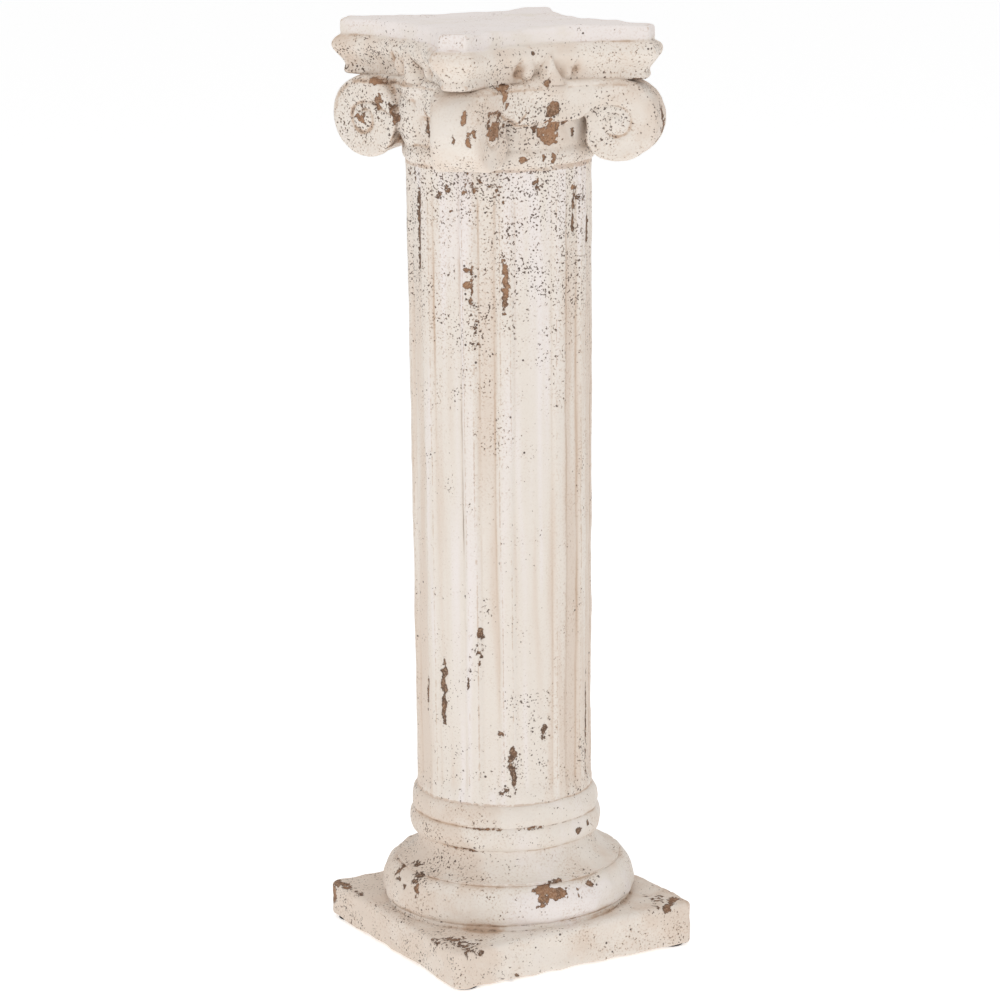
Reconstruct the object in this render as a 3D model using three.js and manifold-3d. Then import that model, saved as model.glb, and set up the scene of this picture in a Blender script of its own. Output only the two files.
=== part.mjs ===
// Decorative pedestal column of cast clay, its Ionic capital with four volutes on the diagonals.
// Millimetres, +Z up, floor at z = 0, plinth sides along X and Y.
import * as THREE from 'three';
import { mergeVertices } from 'three/addons/utils/BufferGeometryUtils.js';
import Module from 'manifold-3d';

const wasm = await Module();
wasm.setup();

// Foot pads
const PAD_RADIUS = 9;
const PAD_THICKNESS = 1.6;
const PAD_GAP = 0.3;
const PAD_CENTRE = 98;
const PAD_SEGMENTS = 16;

// Plinth
const PLINTH_SIDE = 222;
const PLINTH_BOTTOM = PAD_THICKNESS + PAD_GAP;
const PLINTH_TOP = 34.3;
const PLINTH_CORNER = 5.5;
const PLINTH_TOP_EDGE = 3.6;
const PLINTH_BOTTOM_EDGE = 2;
const PLINTH_CORNER_STEPS = 3;
const PLINTH_EDGE_STEPS = 2;

// Turned base; bodies that join run into each other by the sunk depth
const TURN_SEGMENTS = 32;
const FILLET_RADIUS = 101.4;
const FILLET_TOP = 37.8;
const TORUS_RADIUS = 104.3;
const TORUS_MIDDLE = 46;
const TORUS_FOOT_ROUND = 6;
const TORUS_CROWN_WIDE = 20;
const TORUS_CROWN_TALL = 26;
const TORUS_GROOVE_RADIUS = 93.6;
const TORUS_GROOVE = 68.4;
const SLOPE_SHOULDER_RADIUS = 92.8;
const SLOPE_SHOULDER = 70;
const SLOPE_FOOT_RADIUS = 73.8;
const SLOPE_FOOT = 93.2;
const LOWER_RING_RADIUS = 79.4;
const LOWER_RING_ROUND = 5.5;
const LOWER_RING_MIDDLE = 103.6;
const RING_GROOVE_RADIUS = 76.3;
const RING_GROOVE = 112.8;
const UPPER_RING_RADIUS = 77.6;
const UPPER_RING_ROUND = 6;
const UPPER_RING_MIDDLE = 117.5;
const UPPER_RING_TOP = 131;
const SUNK = 4;

// Fluted shaft, standing a little off the middle of the plinth
const SHAFT_SHIFT_X = -2.4;
const SHAFT_SHIFT_Y = 1.3;
const SHAFT_FOOT_RADIUS = 71.7;
const SHAFT_HEAD_RADIUS = 74.3;
const SHAFT_HEAD = 651;
const FLUTE_START = 135;
const FLUTE_FULL = 143;
const FLUTE_PAIRS = 6;
const FLUTE_FIRST_ANGLE = 2.82;
const WIDE_FLUTE_ANGLE = 37.4;
const NARROW_FLUTE_ANGLE = 22.6;
const WIDE_FLUTE_STEPS = 4;
const NARROW_FLUTE_STEPS = 2;
const MOVED_RIB = 6;
const MOVED_RIB_ANGLE = 4.9;
const RIB_CROWN_HALF_ANGLE = 3.4;
const RIB_FOOT_HALF_ANGLE = 5.8;
const FLUTE_EDGE_DEPTH = 1.5;
const FLUTE_DEPTH = 2.3;

// Neck: thin line, astragal and plain drum
const NECK_LINE_RADIUS = 73.2;
const ASTRAGAL_RADIUS = 78.2;
const ASTRAGAL_ROUND = 3.6;
const ASTRAGAL_BOTTOM = 652.5;
const ASTRAGAL_TOP = 667;
const DRUM_RADIUS = 75.6;
const DRUM_FOOT_RADIUS = 74.8;
const DRUM_FOOT_HEIGHT = 3;

// Concave abacus sides: arcs about a point out in front of each side
const ARC_CENTRE = 225;
const SIDE_STEPS = 6;

// Channel band between the volutes
const BAND_BOTTOM = 691.8;
const BAND_TOP = 717;
const BAND_MIDDLE = 79;
const BAND_REACH = 100;
const BAND_ARC_CENTRE = 340;
const BAND_ROUND = 2.2;

// Volutes: discs on the diagonals, each face leaning out from its diagonal by a splay angle (degrees)
const VOLUTE_RADIUS = 31.2;
const VOLUTE_REACH = 132.3;
const VOLUTE_CENTRE = VOLUTE_REACH - VOLUTE_RADIUS;
const VOLUTE_CENTRE_Z = 686.2;
const VOLUTE_RIM_HALF = 17.5;
const VOLUTE_SPLAY = 7.5;
const WIDE_VOLUTE_SPLAY = 29;
const VOLUTE_EDGE = 3;
const VOLUTE_SEGMENTS = 24;
const SPIRAL_START_ANGLE = 150;
const SPIRAL_TURN_ANGLE = 500;
const SPIRAL_OUTER = 18;
const SPIRAL_INNER = 6.5;
const SPIRAL_STEPS = 14;
const SPIRAL_WIDTH = 4;
const SPIRAL_END_WIDTH = 2.4;
const SPIRAL_DEPTH = 2.2;
const EYE_RADIUS = 4.6;
const EYE_CROWN_RADIUS = 2.8;
const EYE_HEIGHT = 1.6;
const EYE_SEGMENTS = 6;

// Abacus
const ABACUS_TOP = 760;
const ABACUS_BOTTOM = 716.5;
const ABACUS_REACH = 126;
const ABACUS_MIDDLE = 75;

// Three-lobed flower in the middle of each abacus side, over a swelling of the channel band
const FLOWER_Z = 732;
const MIDDLE_LOBE = { out: 73, halfWidth: 8.5, depth: 13.5, halfHeight: 15 };
const SIDE_LOBE = { out: 73, halfWidth: 10, depth: 12, halfHeight: 11 };
const SIDE_LOBE_OFFSET = 15.5;
const STEM = { out: 66, halfWidth: 26, depth: 19, halfHeight: 15 };
const STEM_Z = 713;
const LOBE_SEGMENTS = 12;
const LOBE_ROWS = 5;

const QUARTER = Math.PI / 2;
const radians = THREE.MathUtils.degToRad;

// Closed surface through rings of points, each end closed by a fan about its middle
function loft(rings) {
  const count = rings[0].length;
  const points = rings.flat();
  const index = [];
  for (let k = 0; k + 1 < rings.length; k += 1) {
    for (let i = 0; i < count; i += 1) {
      const a = k * count + i;
      const b = k * count + ((i + 1) % count);
      index.push(a, b, b + count, a, b + count, a + count);
    }
  }
  const ends = [rings[0], rings[rings.length - 1]];
  const starts = [0, (rings.length - 1) * count];
  ends.forEach((ring, end) => {
    const middle = ring.reduce((sum, p) => sum.add(p), new THREE.Vector3()).divideScalar(count);
    const hub = points.length;
    points.push(middle);
    for (let i = 0; i < count; i += 1) {
      const a = starts[end] + i;
      const b = starts[end] + ((i + 1) % count);
      if (end === 0) index.push(hub, b, a);
      else index.push(hub, a, b);
    }
  });
  const geometry = new THREE.BufferGeometry();
  geometry.setAttribute('position', new THREE.Float32BufferAttribute(points.flatMap((p) => p.toArray()), 3));
  geometry.setIndex(index);
  return geometry;
}

// Welded solid from a closed geometry, without the flat triangles a turned profile leaves on its axis
function solid(geometry) {
  const bare = new THREE.BufferGeometry();
  bare.setAttribute('position', geometry.getAttribute('position').clone());
  bare.setIndex(geometry.getIndex());
  const welded = mergeVertices(bare, 1e-4);
  const corners = welded.getIndex().array;
  const triangles = [];
  for (let i = 0; i < corners.length; i += 3) {
    const [a, b, c] = [corners[i], corners[i + 1], corners[i + 2]];
    if (a !== b && b !== c && c !== a) triangles.push(a, b, c);
  }
  const mesh = new wasm.Mesh({
    numProp: 3,
    vertProperties: Float32Array.from(welded.getAttribute('position').array),
    triVerts: Uint32Array.from(triangles),
  });
  return new wasm.Manifold(mesh);
}

// Turned body from [radius, height] points, closed on the axis at both ends
function turned(profile) {
  const first = profile[0];
  const last = profile[profile.length - 1];
  const closed = [[0, first[1]], ...profile, [0, last[1]]];
  const geometry = new THREE.LatheGeometry(closed.map(([r, z]) => new THREE.Vector2(r, z)), TURN_SEGMENTS);
  return geometry.rotateX(QUARTER);
}

// Points of an elliptic arc in a turned profile, angles in degrees from straight out, rising
function arcPoints(radius, height, wide, tall, from, to, steps) {
  return Array.from({ length: steps + 1 }, (_, i) => {
    const angle = radians(from + ((to - from) * i) / steps);
    return [radius + wide * Math.cos(angle), height + tall * Math.sin(angle)];
  });
}

// Rounded square plinth with softened top and bottom edges
function plinth() {
  const half = PLINTH_SIDE / 2;
  const square = (inset, z) => {
    const corner = PLINTH_CORNER - inset / 2;
    const centre = half - inset - corner;
    return Array.from({ length: 4 * (PLINTH_CORNER_STEPS + 1) }, (_, i) => {
      const turn = Math.floor(i / (PLINTH_CORNER_STEPS + 1));
      const step = (i % (PLINTH_CORNER_STEPS + 1)) / PLINTH_CORNER_STEPS;
      const angle = (turn + step) * QUARTER;
      const middle = (turn + 0.5) * QUARTER;
      return new THREE.Vector3(
        centre * Math.SQRT2 * Math.cos(middle) + corner * Math.cos(angle),
        centre * Math.SQRT2 * Math.sin(middle) + corner * Math.sin(angle),
        z,
      );
    });
  };
  const edge = Array.from({ length: PLINTH_EDGE_STEPS + 1 }, (_, i) => (i / PLINTH_EDGE_STEPS) * QUARTER);
  const below = edge.map((a) => square(
    PLINTH_BOTTOM_EDGE * (1 - Math.sin(a)),
    PLINTH_BOTTOM + PLINTH_BOTTOM_EDGE * (1 - Math.cos(a)),
  ));
  const above = edge.map((a) => square(
    PLINTH_TOP_EDGE * (1 - Math.cos(a)),
    PLINTH_TOP - PLINTH_TOP_EDGE * (1 - Math.sin(a)),
  ));
  return loft([...below, ...above]);
}

// Fillet, big torus, groove, slope and the pair of rings under the shaft
function base() {
  const torusFoot = arcPoints(
    TORUS_RADIUS - TORUS_FOOT_ROUND, TORUS_MIDDLE, TORUS_FOOT_ROUND, TORUS_MIDDLE - FILLET_TOP, -75, 0, 2,
  );
  const torusCrown = arcPoints(
    TORUS_RADIUS - TORUS_CROWN_WIDE, TORUS_MIDDLE, TORUS_CROWN_WIDE, TORUS_CROWN_TALL, 15, 56, 3,
  );
  const slope = arcPoints(
    SLOPE_SHOULDER_RADIUS, SLOPE_FOOT, SLOPE_FOOT_RADIUS - SLOPE_SHOULDER_RADIUS,
    SLOPE_SHOULDER - SLOPE_FOOT, 90, 0, 4,
  );
  const lowerRing = arcPoints(
    LOWER_RING_RADIUS - LOWER_RING_ROUND, LOWER_RING_MIDDLE, LOWER_RING_ROUND,
    LOWER_RING_MIDDLE - SLOPE_FOOT, -90, 60, 4,
  );
  const upperRing = arcPoints(
    UPPER_RING_RADIUS - UPPER_RING_ROUND, UPPER_RING_MIDDLE, UPPER_RING_ROUND,
    UPPER_RING_TOP - UPPER_RING_MIDDLE, -10, 85, 3,
  );
  return turned([
    [FILLET_RADIUS, PLINTH_TOP - SUNK],
    [FILLET_RADIUS, FILLET_TOP],
    ...torusFoot,
    ...torusCrown,
    [TORUS_GROOVE_RADIUS, TORUS_GROOVE],
    ...slope,
    ...lowerRing,
    [RING_GROOVE_RADIUS, RING_GROOVE],
    ...upperRing,
  ]);
}

// Rib centres round the shaft in degrees, by turns a wide and a narrow flute apart, one of them off its place
function ribAngles() {
  const angles = [];
  for (let pair = 0; pair < FLUTE_PAIRS; pair += 1) {
    const first = FLUTE_FIRST_ANGLE + pair * (WIDE_FLUTE_ANGLE + NARROW_FLUTE_ANGLE);
    angles.push(first, first + WIDE_FLUTE_ANGLE);
  }
  angles[MOVED_RIB] += MOVED_RIB_ANGLE;
  return angles;
}

// Angles of one turn of the shaft with the flute depth at each
function flutePlan() {
  const plan = [];
  const ribs = ribAngles();
  ribs.forEach((rib, i) => {
    const next = i + 1 < ribs.length ? ribs[i + 1] : ribs[0] + 360;
    const floor = next - rib - 2 * RIB_FOOT_HALF_ANGLE;
    const steps = i % 2 === 0 ? WIDE_FLUTE_STEPS : NARROW_FLUTE_STEPS;
    plan.push([rib - RIB_CROWN_HALF_ANGLE, 0], [rib + RIB_CROWN_HALF_ANGLE, 0]);
    for (let k = 0; k <= steps; k += 1) {
      const depth = FLUTE_EDGE_DEPTH + (FLUTE_DEPTH - FLUTE_EDGE_DEPTH) * Math.sin((Math.PI * k) / steps);
      plan.push([rib + RIB_FOOT_HALF_ANGLE + (floor * k) / steps, depth]);
    }
  });
  return plan;
}

// Fluted shaft, a little wider at the head
function shaft() {
  const plan = flutePlan();
  const foot = UPPER_RING_TOP - SUNK;
  const ring = (z, share) => {
    const radius = THREE.MathUtils.mapLinear(z, foot, SHAFT_HEAD, SHAFT_FOOT_RADIUS, SHAFT_HEAD_RADIUS);
    return plan.map(([angle, depth]) => new THREE.Vector3(
      (radius - share * depth) * Math.cos(radians(angle)),
      (radius - share * depth) * Math.sin(radians(angle)),
      z,
    ));
  };
  return loft([ring(foot, 0), ring(FLUTE_START, 0), ring(FLUTE_FULL, 1), ring(SHAFT_HEAD, 1)]);
}

// Thin line, astragal and drum
function neck() {
  const height = (ASTRAGAL_TOP - ASTRAGAL_BOTTOM) / 2;
  const middle = ASTRAGAL_BOTTOM + height;
  return turned([
    [NECK_LINE_RADIUS - SUNK, SHAFT_HEAD - SUNK],
    [NECK_LINE_RADIUS, SHAFT_HEAD],
    [NECK_LINE_RADIUS, ASTRAGAL_BOTTOM],
    ...arcPoints(ASTRAGAL_RADIUS - ASTRAGAL_ROUND, middle, ASTRAGAL_ROUND, height, -70, 65, 4),
    [DRUM_FOOT_RADIUS, ASTRAGAL_TOP],
    [DRUM_RADIUS, ASTRAGAL_TOP + DRUM_FOOT_HEIGHT],
    [DRUM_RADIUS, BAND_BOTTOM + SUNK],
  ]);
}

// Half width of a corner cut square to its diagonal, where it meets the concave sides
function cornerHalf(reach, side, centre) {
  const sum = Math.SQRT2 * centre;
  const rest = reach * reach - sum * reach + centre * centre - side * side;
  return (sum - Math.sqrt(sum * sum - 4 * rest)) / 2;
}

// Plan with four concave sides, arcs about points out in front of them, and cut corners
function concaveRing(middle, reach, z, centre) {
  const side = centre - middle;
  const end = (reach - cornerHalf(reach, side, centre)) / Math.SQRT2;
  const half = Math.asin(end / side);
  const points = [];
  for (let turn = 0; turn < 4; turn += 1) {
    const normal = turn * QUARTER;
    for (let i = 0; i <= SIDE_STEPS; i += 1) {
      const angle = half * ((2 * i) / SIDE_STEPS - 1);
      const out = centre - side * Math.cos(angle);
      const across = side * Math.sin(angle);
      points.push(new THREE.Vector3(
        out * Math.cos(normal) - across * Math.sin(normal),
        out * Math.sin(normal) + across * Math.cos(normal),
        z,
      ));
    }
  }
  return points;
}

// Moulded abacus: slab, bead, slope and lower fillet as [set-out from the slab, height]
function abacus() {
  const mouldings = [
    [-6.5, ABACUS_BOTTOM],
    [-2.5, ABACUS_BOTTOM + 3.5],
    [-1.5, ABACUS_BOTTOM + 8.5],
    [-3.4, ABACUS_BOTTOM + 10.5],
    [0.5, ABACUS_BOTTOM + 18.5],
    [5.5, ABACUS_BOTTOM + 24],
    [5.8, ABACUS_BOTTOM + 28.5],
    [4.2, ABACUS_BOTTOM + 32],
    [0.2, ABACUS_BOTTOM + 33.5],
    [0, ABACUS_TOP - 2],
    [-1.6, ABACUS_TOP],
  ];
  const ring = ([out, z]) => concaveRing(ABACUS_MIDDLE + out, ABACUS_REACH + out, z, ARC_CENTRE);
  return loft(mouldings.map(ring));
}

// Channel band that runs from volute to volute under the abacus
function band() {
  return loft([
    concaveRing(BAND_MIDDLE - BAND_ROUND, BAND_REACH, BAND_BOTTOM, BAND_ARC_CENTRE),
    concaveRing(BAND_MIDDLE, BAND_REACH, BAND_BOTTOM + BAND_ROUND, BAND_ARC_CENTRE),
    concaveRing(BAND_MIDDLE, BAND_REACH, BAND_TOP - BAND_ROUND, BAND_ARC_CENTRE),
    concaveRing(BAND_MIDDLE - BAND_ROUND, BAND_REACH, BAND_TOP, BAND_ARC_CENTRE),
  ]);
}

// Point of a volute: distance along the diagonal, across it and height, turned to the diagonal's angle
function onDiagonal(along, across, z, angle) {
  return new THREE.Vector3(
    along * Math.cos(angle) - across * Math.sin(angle),
    along * Math.sin(angle) + across * Math.cos(angle),
    z,
  );
}

// Distance of a volute face from its diagonal, growing inward with the splay
function faceOut(along, splay) {
  return VOLUTE_RIM_HALF + (VOLUTE_REACH - along) * Math.tan(radians(splay));
}

// Point of a volute face at a radius and turn about the eye, raised by a height
function facePoint(face, radius, turn, rise) {
  const along = VOLUTE_CENTRE + radius * Math.cos(turn);
  const across = face.sign * (faceOut(along, face.splay) + rise);
  return onDiagonal(along, across, VOLUTE_CENTRE_Z + radius * Math.sin(turn), face.angle);
}

// Disc of a volute between its two faces, with softened rims
function voluteDisc(faces) {
  const ring = (face, inset, rise) => Array.from({ length: VOLUTE_SEGMENTS }, (_, i) => (
    facePoint(face, VOLUTE_RADIUS - inset, (i / VOLUTE_SEGMENTS) * 2 * Math.PI, rise)
  ));
  const [left, right] = faces;
  return loft([
    ring(left, VOLUTE_EDGE, 0),
    ring(left, 0, -VOLUTE_EDGE),
    ring(right, 0, -VOLUTE_EDGE),
    ring(right, VOLUTE_EDGE, 0),
  ]);
}

// Spiral groove on a volute face, a notch swept inward from the channel band to the eye
function spiralGroove(face) {
  const notch = [[-0.5, 0.3], [0.5, 0.3], [0, -1]];
  const path = Array.from({ length: SPIRAL_STEPS + 1 }, (_, i) => {
    const share = i / SPIRAL_STEPS;
    const turn = radians(SPIRAL_START_ANGLE - SPIRAL_TURN_ANGLE * share);
    const radius = THREE.MathUtils.lerp(SPIRAL_OUTER, SPIRAL_INNER, share);
    const width = THREE.MathUtils.lerp(SPIRAL_WIDTH, SPIRAL_END_WIDTH, share);
    const corner = ([wide, deep]) => facePoint(face, radius + wide * width, turn, deep * SPIRAL_DEPTH);
    const ring = notch.map(corner);
    return face.sign > 0 ? ring : ring.reverse();
  });
  return loft(path);
}

// Small round eye standing up from the middle of a volute face
function voluteEye(face) {
  const ring = (radius, rise) => Array.from({ length: EYE_SEGMENTS }, (_, i) => (
    facePoint(face, radius, (-face.sign * i * 2 * Math.PI) / EYE_SEGMENTS, rise)
  ));
  return loft([
    ring(EYE_RADIUS, -SUNK),
    ring(EYE_RADIUS, EYE_HEIGHT / 3),
    ring(EYE_CROWN_RADIUS, EYE_HEIGHT),
  ]);
}

// Rounded lobe on an abacus side
function lobe(normal, across, z, form) {
  const geometry = new THREE.SphereGeometry(1, LOBE_SEGMENTS, LOBE_ROWS);
  geometry.rotateY(Math.PI / LOBE_SEGMENTS);
  geometry.rotateZ(QUARTER);
  geometry.scale(form.depth, form.halfWidth, form.halfHeight);
  geometry.translate(form.out, across, z);
  return geometry.rotateZ(normal);
}

// Three lobes of a flower and the swelling below them
function flower(normal) {
  return [
    lobe(normal, 0, FLOWER_Z, MIDDLE_LOBE),
    lobe(normal, -SIDE_LOBE_OFFSET, FLOWER_Z, SIDE_LOBE),
    lobe(normal, SIDE_LOBE_OFFSET, FLOWER_Z, SIDE_LOBE),
    lobe(normal, 0, STEM_Z, STEM),
  ];
}

// Whole casting
function column() {
  let upper = solid(shaft()).add(solid(neck())).add(solid(band())).add(solid(abacus()));
  for (let turn = 0; turn < 4; turn += 1) {
    const angle = (turn + 0.5) * QUARTER;
    const splay = turn === 1 ? WIDE_VOLUTE_SPLAY : VOLUTE_SPLAY;
    const faces = [{ angle, sign: 1, splay }, { angle, sign: -1, splay: VOLUTE_SPLAY }];
    upper = upper.add(solid(voluteDisc(faces)));
    faces.forEach((face) => {
      upper = upper.subtract(solid(spiralGroove(face))).add(solid(voluteEye(face)));
    });
    flower(turn * QUARTER).forEach((piece) => { upper = upper.add(solid(piece)); });
  }
  const shifted = upper.translate([SHAFT_SHIFT_X, SHAFT_SHIFT_Y, 0]);
  return solid(plinth()).add(solid(base())).add(shifted);
}

// Round foot pad
function pad(x, y) {
  const geometry = new THREE.CylinderGeometry(PAD_RADIUS, PAD_RADIUS, PAD_THICKNESS, PAD_SEGMENTS);
  geometry.rotateX(QUARTER);
  return geometry.translate(x, y, PAD_THICKNESS / 2);
}

function meshFrom(body, name, material) {
  const made = body.getMesh();
  const geometry = new THREE.BufferGeometry();
  geometry.setAttribute('position', new THREE.Float32BufferAttribute(made.vertProperties, 3));
  geometry.setIndex(new THREE.BufferAttribute(made.triVerts, 1));
  geometry.computeVertexNormals();
  const mesh = new THREE.Mesh(geometry, material);
  mesh.name = name;
  return mesh;
}

const paintedClay = () => new THREE.MeshStandardMaterial({ color: 0xe5dbcf, roughness: 0.85, metalness: 0 });
const darkFelt = () => new THREE.MeshStandardMaterial({ color: 0x2a2522, roughness: 0.95, metalness: 0 });

const group = new THREE.Group();
group.add(meshFrom(column(), 'column', paintedClay()));
const feet = { pad_front: [-1, -1], pad_right: [1, -1], pad_back: [1, 1], pad_left: [-1, 1] };
Object.entries(feet).forEach(([name, [x, y]]) => {
  group.add(meshFrom(solid(pad(x * PAD_CENTRE, y * PAD_CENTRE)), name, darkFelt()));
});

export default group;
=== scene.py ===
"""Looks of a cast clay pedestal column in worn cream paint.

Laid out as an add-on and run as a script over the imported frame. The shape functions work in
millimetres in the row frame, and the mesh builder turns them into metres.
"""

import math

import bpy
import numpy as np
from bpy.props import FloatProperty, FloatVectorProperty, PointerProperty
from mathutils import Matrix, Vector


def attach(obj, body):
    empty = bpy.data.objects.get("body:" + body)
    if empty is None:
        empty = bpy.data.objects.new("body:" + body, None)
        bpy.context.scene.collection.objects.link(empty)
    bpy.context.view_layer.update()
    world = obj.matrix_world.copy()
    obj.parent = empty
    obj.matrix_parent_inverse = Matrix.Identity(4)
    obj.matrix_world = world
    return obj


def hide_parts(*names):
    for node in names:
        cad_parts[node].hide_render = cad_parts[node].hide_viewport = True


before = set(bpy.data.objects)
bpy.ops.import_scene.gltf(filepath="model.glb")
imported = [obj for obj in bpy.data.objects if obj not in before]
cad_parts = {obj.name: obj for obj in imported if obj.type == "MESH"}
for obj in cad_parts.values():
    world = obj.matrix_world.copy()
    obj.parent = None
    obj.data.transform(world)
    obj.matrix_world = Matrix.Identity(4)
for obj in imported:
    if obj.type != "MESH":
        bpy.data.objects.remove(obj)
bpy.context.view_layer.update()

bl_info = {
    "name": "Painted clay column",
    "version": (1, 0, 0),
    "blender": (4, 5, 0),
    "location": "View3D > Sidebar > Column",
    "description": "Builds the looks of a distressed pedestal column over its packed solids",
    "category": "Object",
}

MM = 0.001
UP = np.array([0.0, 0.0, 1.0])
MIDDLE = np.zeros(3)

# Plinth and foot pads
PLINTH_HALF = 111.0
PLINTH_BOTTOM = 1.9
PLINTH_TOP = 34.3
PLINTH_TOP_EDGE = 4.0
PLINTH_TILT = 2.4
PLINTH_TILT_AZIMUTH = -30.0
PLINTH_BOTTOM_EDGE = 2.4
PLINTH_CORNERS = np.array([6.0, 4.5, 7.0, 5.5])  # back, left, front and right corner radius
PLINTH_CROWDING = 0.62  # how far the rows of points crowd towards the corners
PLINTH_COUNT = 424
PLINTH_SIDE_ROWS = 17
PLINTH_TOP_ROWS = 20
UNDERSIDE_ROWS = (0.2, 0.5, 0.75, 0.9, 0.97)  # shares of the way out from the middle
BASE_SPACING = 1.05
PAD_RADIUS = 10.4
PAD_THICKNESS = 1.6
PAD_EDGE = 0.5
PAD_CORE_RADIUS = 4.0
PAD_COUNT = 48
PAD_CENTRE = 98.0
PAD_PLACES = {"pad_front": (-1, -1), "pad_right": (1, -1), "pad_back": (1, 1), "pad_left": (-1, 1)}

# Turned base
FILLET_RADIUS = 101.4
FILLET_TOP = 37.8
TORUS_RADIUS = 104.3
TORUS_MIDDLE = 46.0
TORUS_FOOT_ROUND = 6.0
TORUS_CROWN_WIDE = 20.0
TORUS_CROWN_TALL = 26.0
TORUS_GROOVE = (91.8, 68.7)
SLOPE_SHOULDER = (92.9, 70.8)
SLOPE_FOOT = (73.8, 93.2)
LOWER_RING_RADIUS = 79.4
LOWER_RING_ROUND = 5.5
LOWER_RING_MIDDLE = 103.6
RING_GROOVE = (76.2, 112.8)
UPPER_RING_RADIUS = 77.6
UPPER_RING_ROUND = 6.0
UPPER_RING_MIDDLE = 117.5
UPPER_RING_TOP = 131.0
UNDER_SHAFT_RADIUS = 60.0
AXIS_SHIFT = (78.0, 100.0)  # heights between which the base moves over to the shaft's axis

# Fluted shaft, a little off the middle of the plinth as cast
SHAFT_AXIS = np.array([-2.4, 1.3, 0.0])
SHAFT_BOTTOM = 127.0
SHAFT_TOP = 655.0
SHAFT_FOOT_RADIUS = 72.4
SHAFT_HEAD_RADIUS = 75.5
SHAFT_COUNT = 294
SHAFT_ROWS = 326
SHAFT_FLOW = 0.06  # share of its height that the paint sees, so that its drifts run along the shaft
DARK_LINES = (-146.0, -169.0, 171.0)  # azimuths of the rib feet that hold most wash
FLUTE_PAIRS = 6
FLUTE_FIRST_ANGLE = 2.82
WIDE_FLUTE_ANGLE = 37.4
PAIR_ANGLE = 60.0
MOVED_RIB = 6
MOVED_RIB_ANGLE = 4.9
RIB_CROWN_HALF_ANGLE = 3.0
RIB_FOOT_HALF_ANGLE = 6.2
RIB_LINE_HALF_ANGLE = 1.2
FLUTE_EDGE_DEPTH = 2.1
FLUTE_START = 133.0
FLUTE_FULL = 149.0
FLUTE_FADE_START = 618.0
FLUTE_FADE_END = 650.0
FLUTE_FADE = 0.75
FLUTE_WANDER = 0.3  # degrees
FLUTE_WANDER_LENGTH = 90.0
WANDER_RADIUS = 72.0
START_WANDER = 6.0  # how far a flute's start moves up or down for each degree it strays

# Neck, channel band and abacus
NECK_BOTTOM = 647.0
NECK_CORE_RADIUS = 40.0
NECK_FOOT_RADIUS = 69.0
NECK_LINE = (73.2, 652.0)
NECK_COUNT = 360
NECK_SPACING = 1.2
ASTRAGAL_RADIUS = 78.2
ASTRAGAL_ROUND = 4.4
ASTRAGAL_BOTTOM = 652.5
ASTRAGAL_TOP = 667.0
DRUM_RADIUS = 75.6
DRUM_FOOT = (74.6, 667.4)
DRUM_TOP = 700.0
BAND_BOTTOM = 688.0
BAND_TOP = 720.0
BAND_MIDDLE = 79.0
BAND_REACH = 100.0
BAND_ARC_CENTRE = 340.0
BAND_ROUND = 3.4
BAND_SPACING = 0.6
FILLET_LINE = 714.8
FILLET_LINE_DEPTH = 1.8
FILLET_LINE_HALF_WIDTH = 1.4
BAND_LIFT = 10.5
BAND_LIFT_START = 18.5
BAND_LIFT_END = 30.0
LEFT_BAND_RISE = 3.4
ABACUS_BOTTOM = 717.2
ABACUS_MIDDLE = 75.0
ABACUS_REACH = 127.0
ABACUS_ARC_CENTRE = 225.0
ABACUS_COUNT = 800
ABACUS_SPACING = 0.66
ABACUS_LIFT = 1.4
ABACUS_TILT = 1.6
ABACUS_TILT_AZIMUTH = 190.0
ABACUS_FRONT_LIFT = 1.5
ABACUS_SHIFT = np.array([-0.9, 0.9, 0.0])
CORNER_SOFTNESS = 4.2
# Set-out from the slab and height above the abacus bottom
ABACUS_MOULDINGS = [
    (-9.0, 0.0), (-3.4, 0.6), (-2.0, 2.0), (-1.8, 4.2), (-2.6, 6.4), (-2.8, 8.0), (-1.6, 10.4), (0.8, 13.4),
    (3.4, 16.4), (5.4, 19.2), (6.4, 21.8), (6.6, 23.6), (6.0, 26.2), (4.2, 28.4), (2.0, 29.8), (0.1, 30.8),
    (0.4, 31.8), (0.6, 33.2), (0.4, 40.4), (-0.5, 42.2), (-2.6, 42.8),
]
SLAB_GROOVE = ABACUS_BOTTOM + 31.5
# Rows over the abacus's top and underside, as shares of the way out from the middle
ABACUS_FACE_ROWS = np.array([0.12, 0.3, 0.48, 0.64, 0.78, 0.88, 0.95])

# Volutes on the diagonals
VOLUTE_RADIUS = 32.6
VOLUTE_REACH = 133.8
VOLUTE_CENTRE = VOLUTE_REACH - VOLUTE_RADIUS
VOLUTE_CENTRE_Z = 686.2
VOLUTE_RIM_HALF = 17.5
VOLUTE_SPLAY = 10.5
WIDE_VOLUTE_SPLAY = 29.0
WIDE_VOLUTE = 1
VOLUTE_EDGE = 3.0
# How far the outline is drawn in at turns round the eye, beside the drum
OUTLINE_TURNS = np.array([0.0, 158.0, 174.0, 194.0, 217.0, 245.0, 360.0])
OUTLINE_INSETS = np.array([0.0, 0.0, 9.2, 9.0, 3.2, 0.2, 0.0])
WIDE_VOLUTE_INSET = 0.2
VOLUTE_COUNT = 200
VOLUTE_ROWS = 42
VOLUTE_RIM_LINE = 29.4
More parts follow.
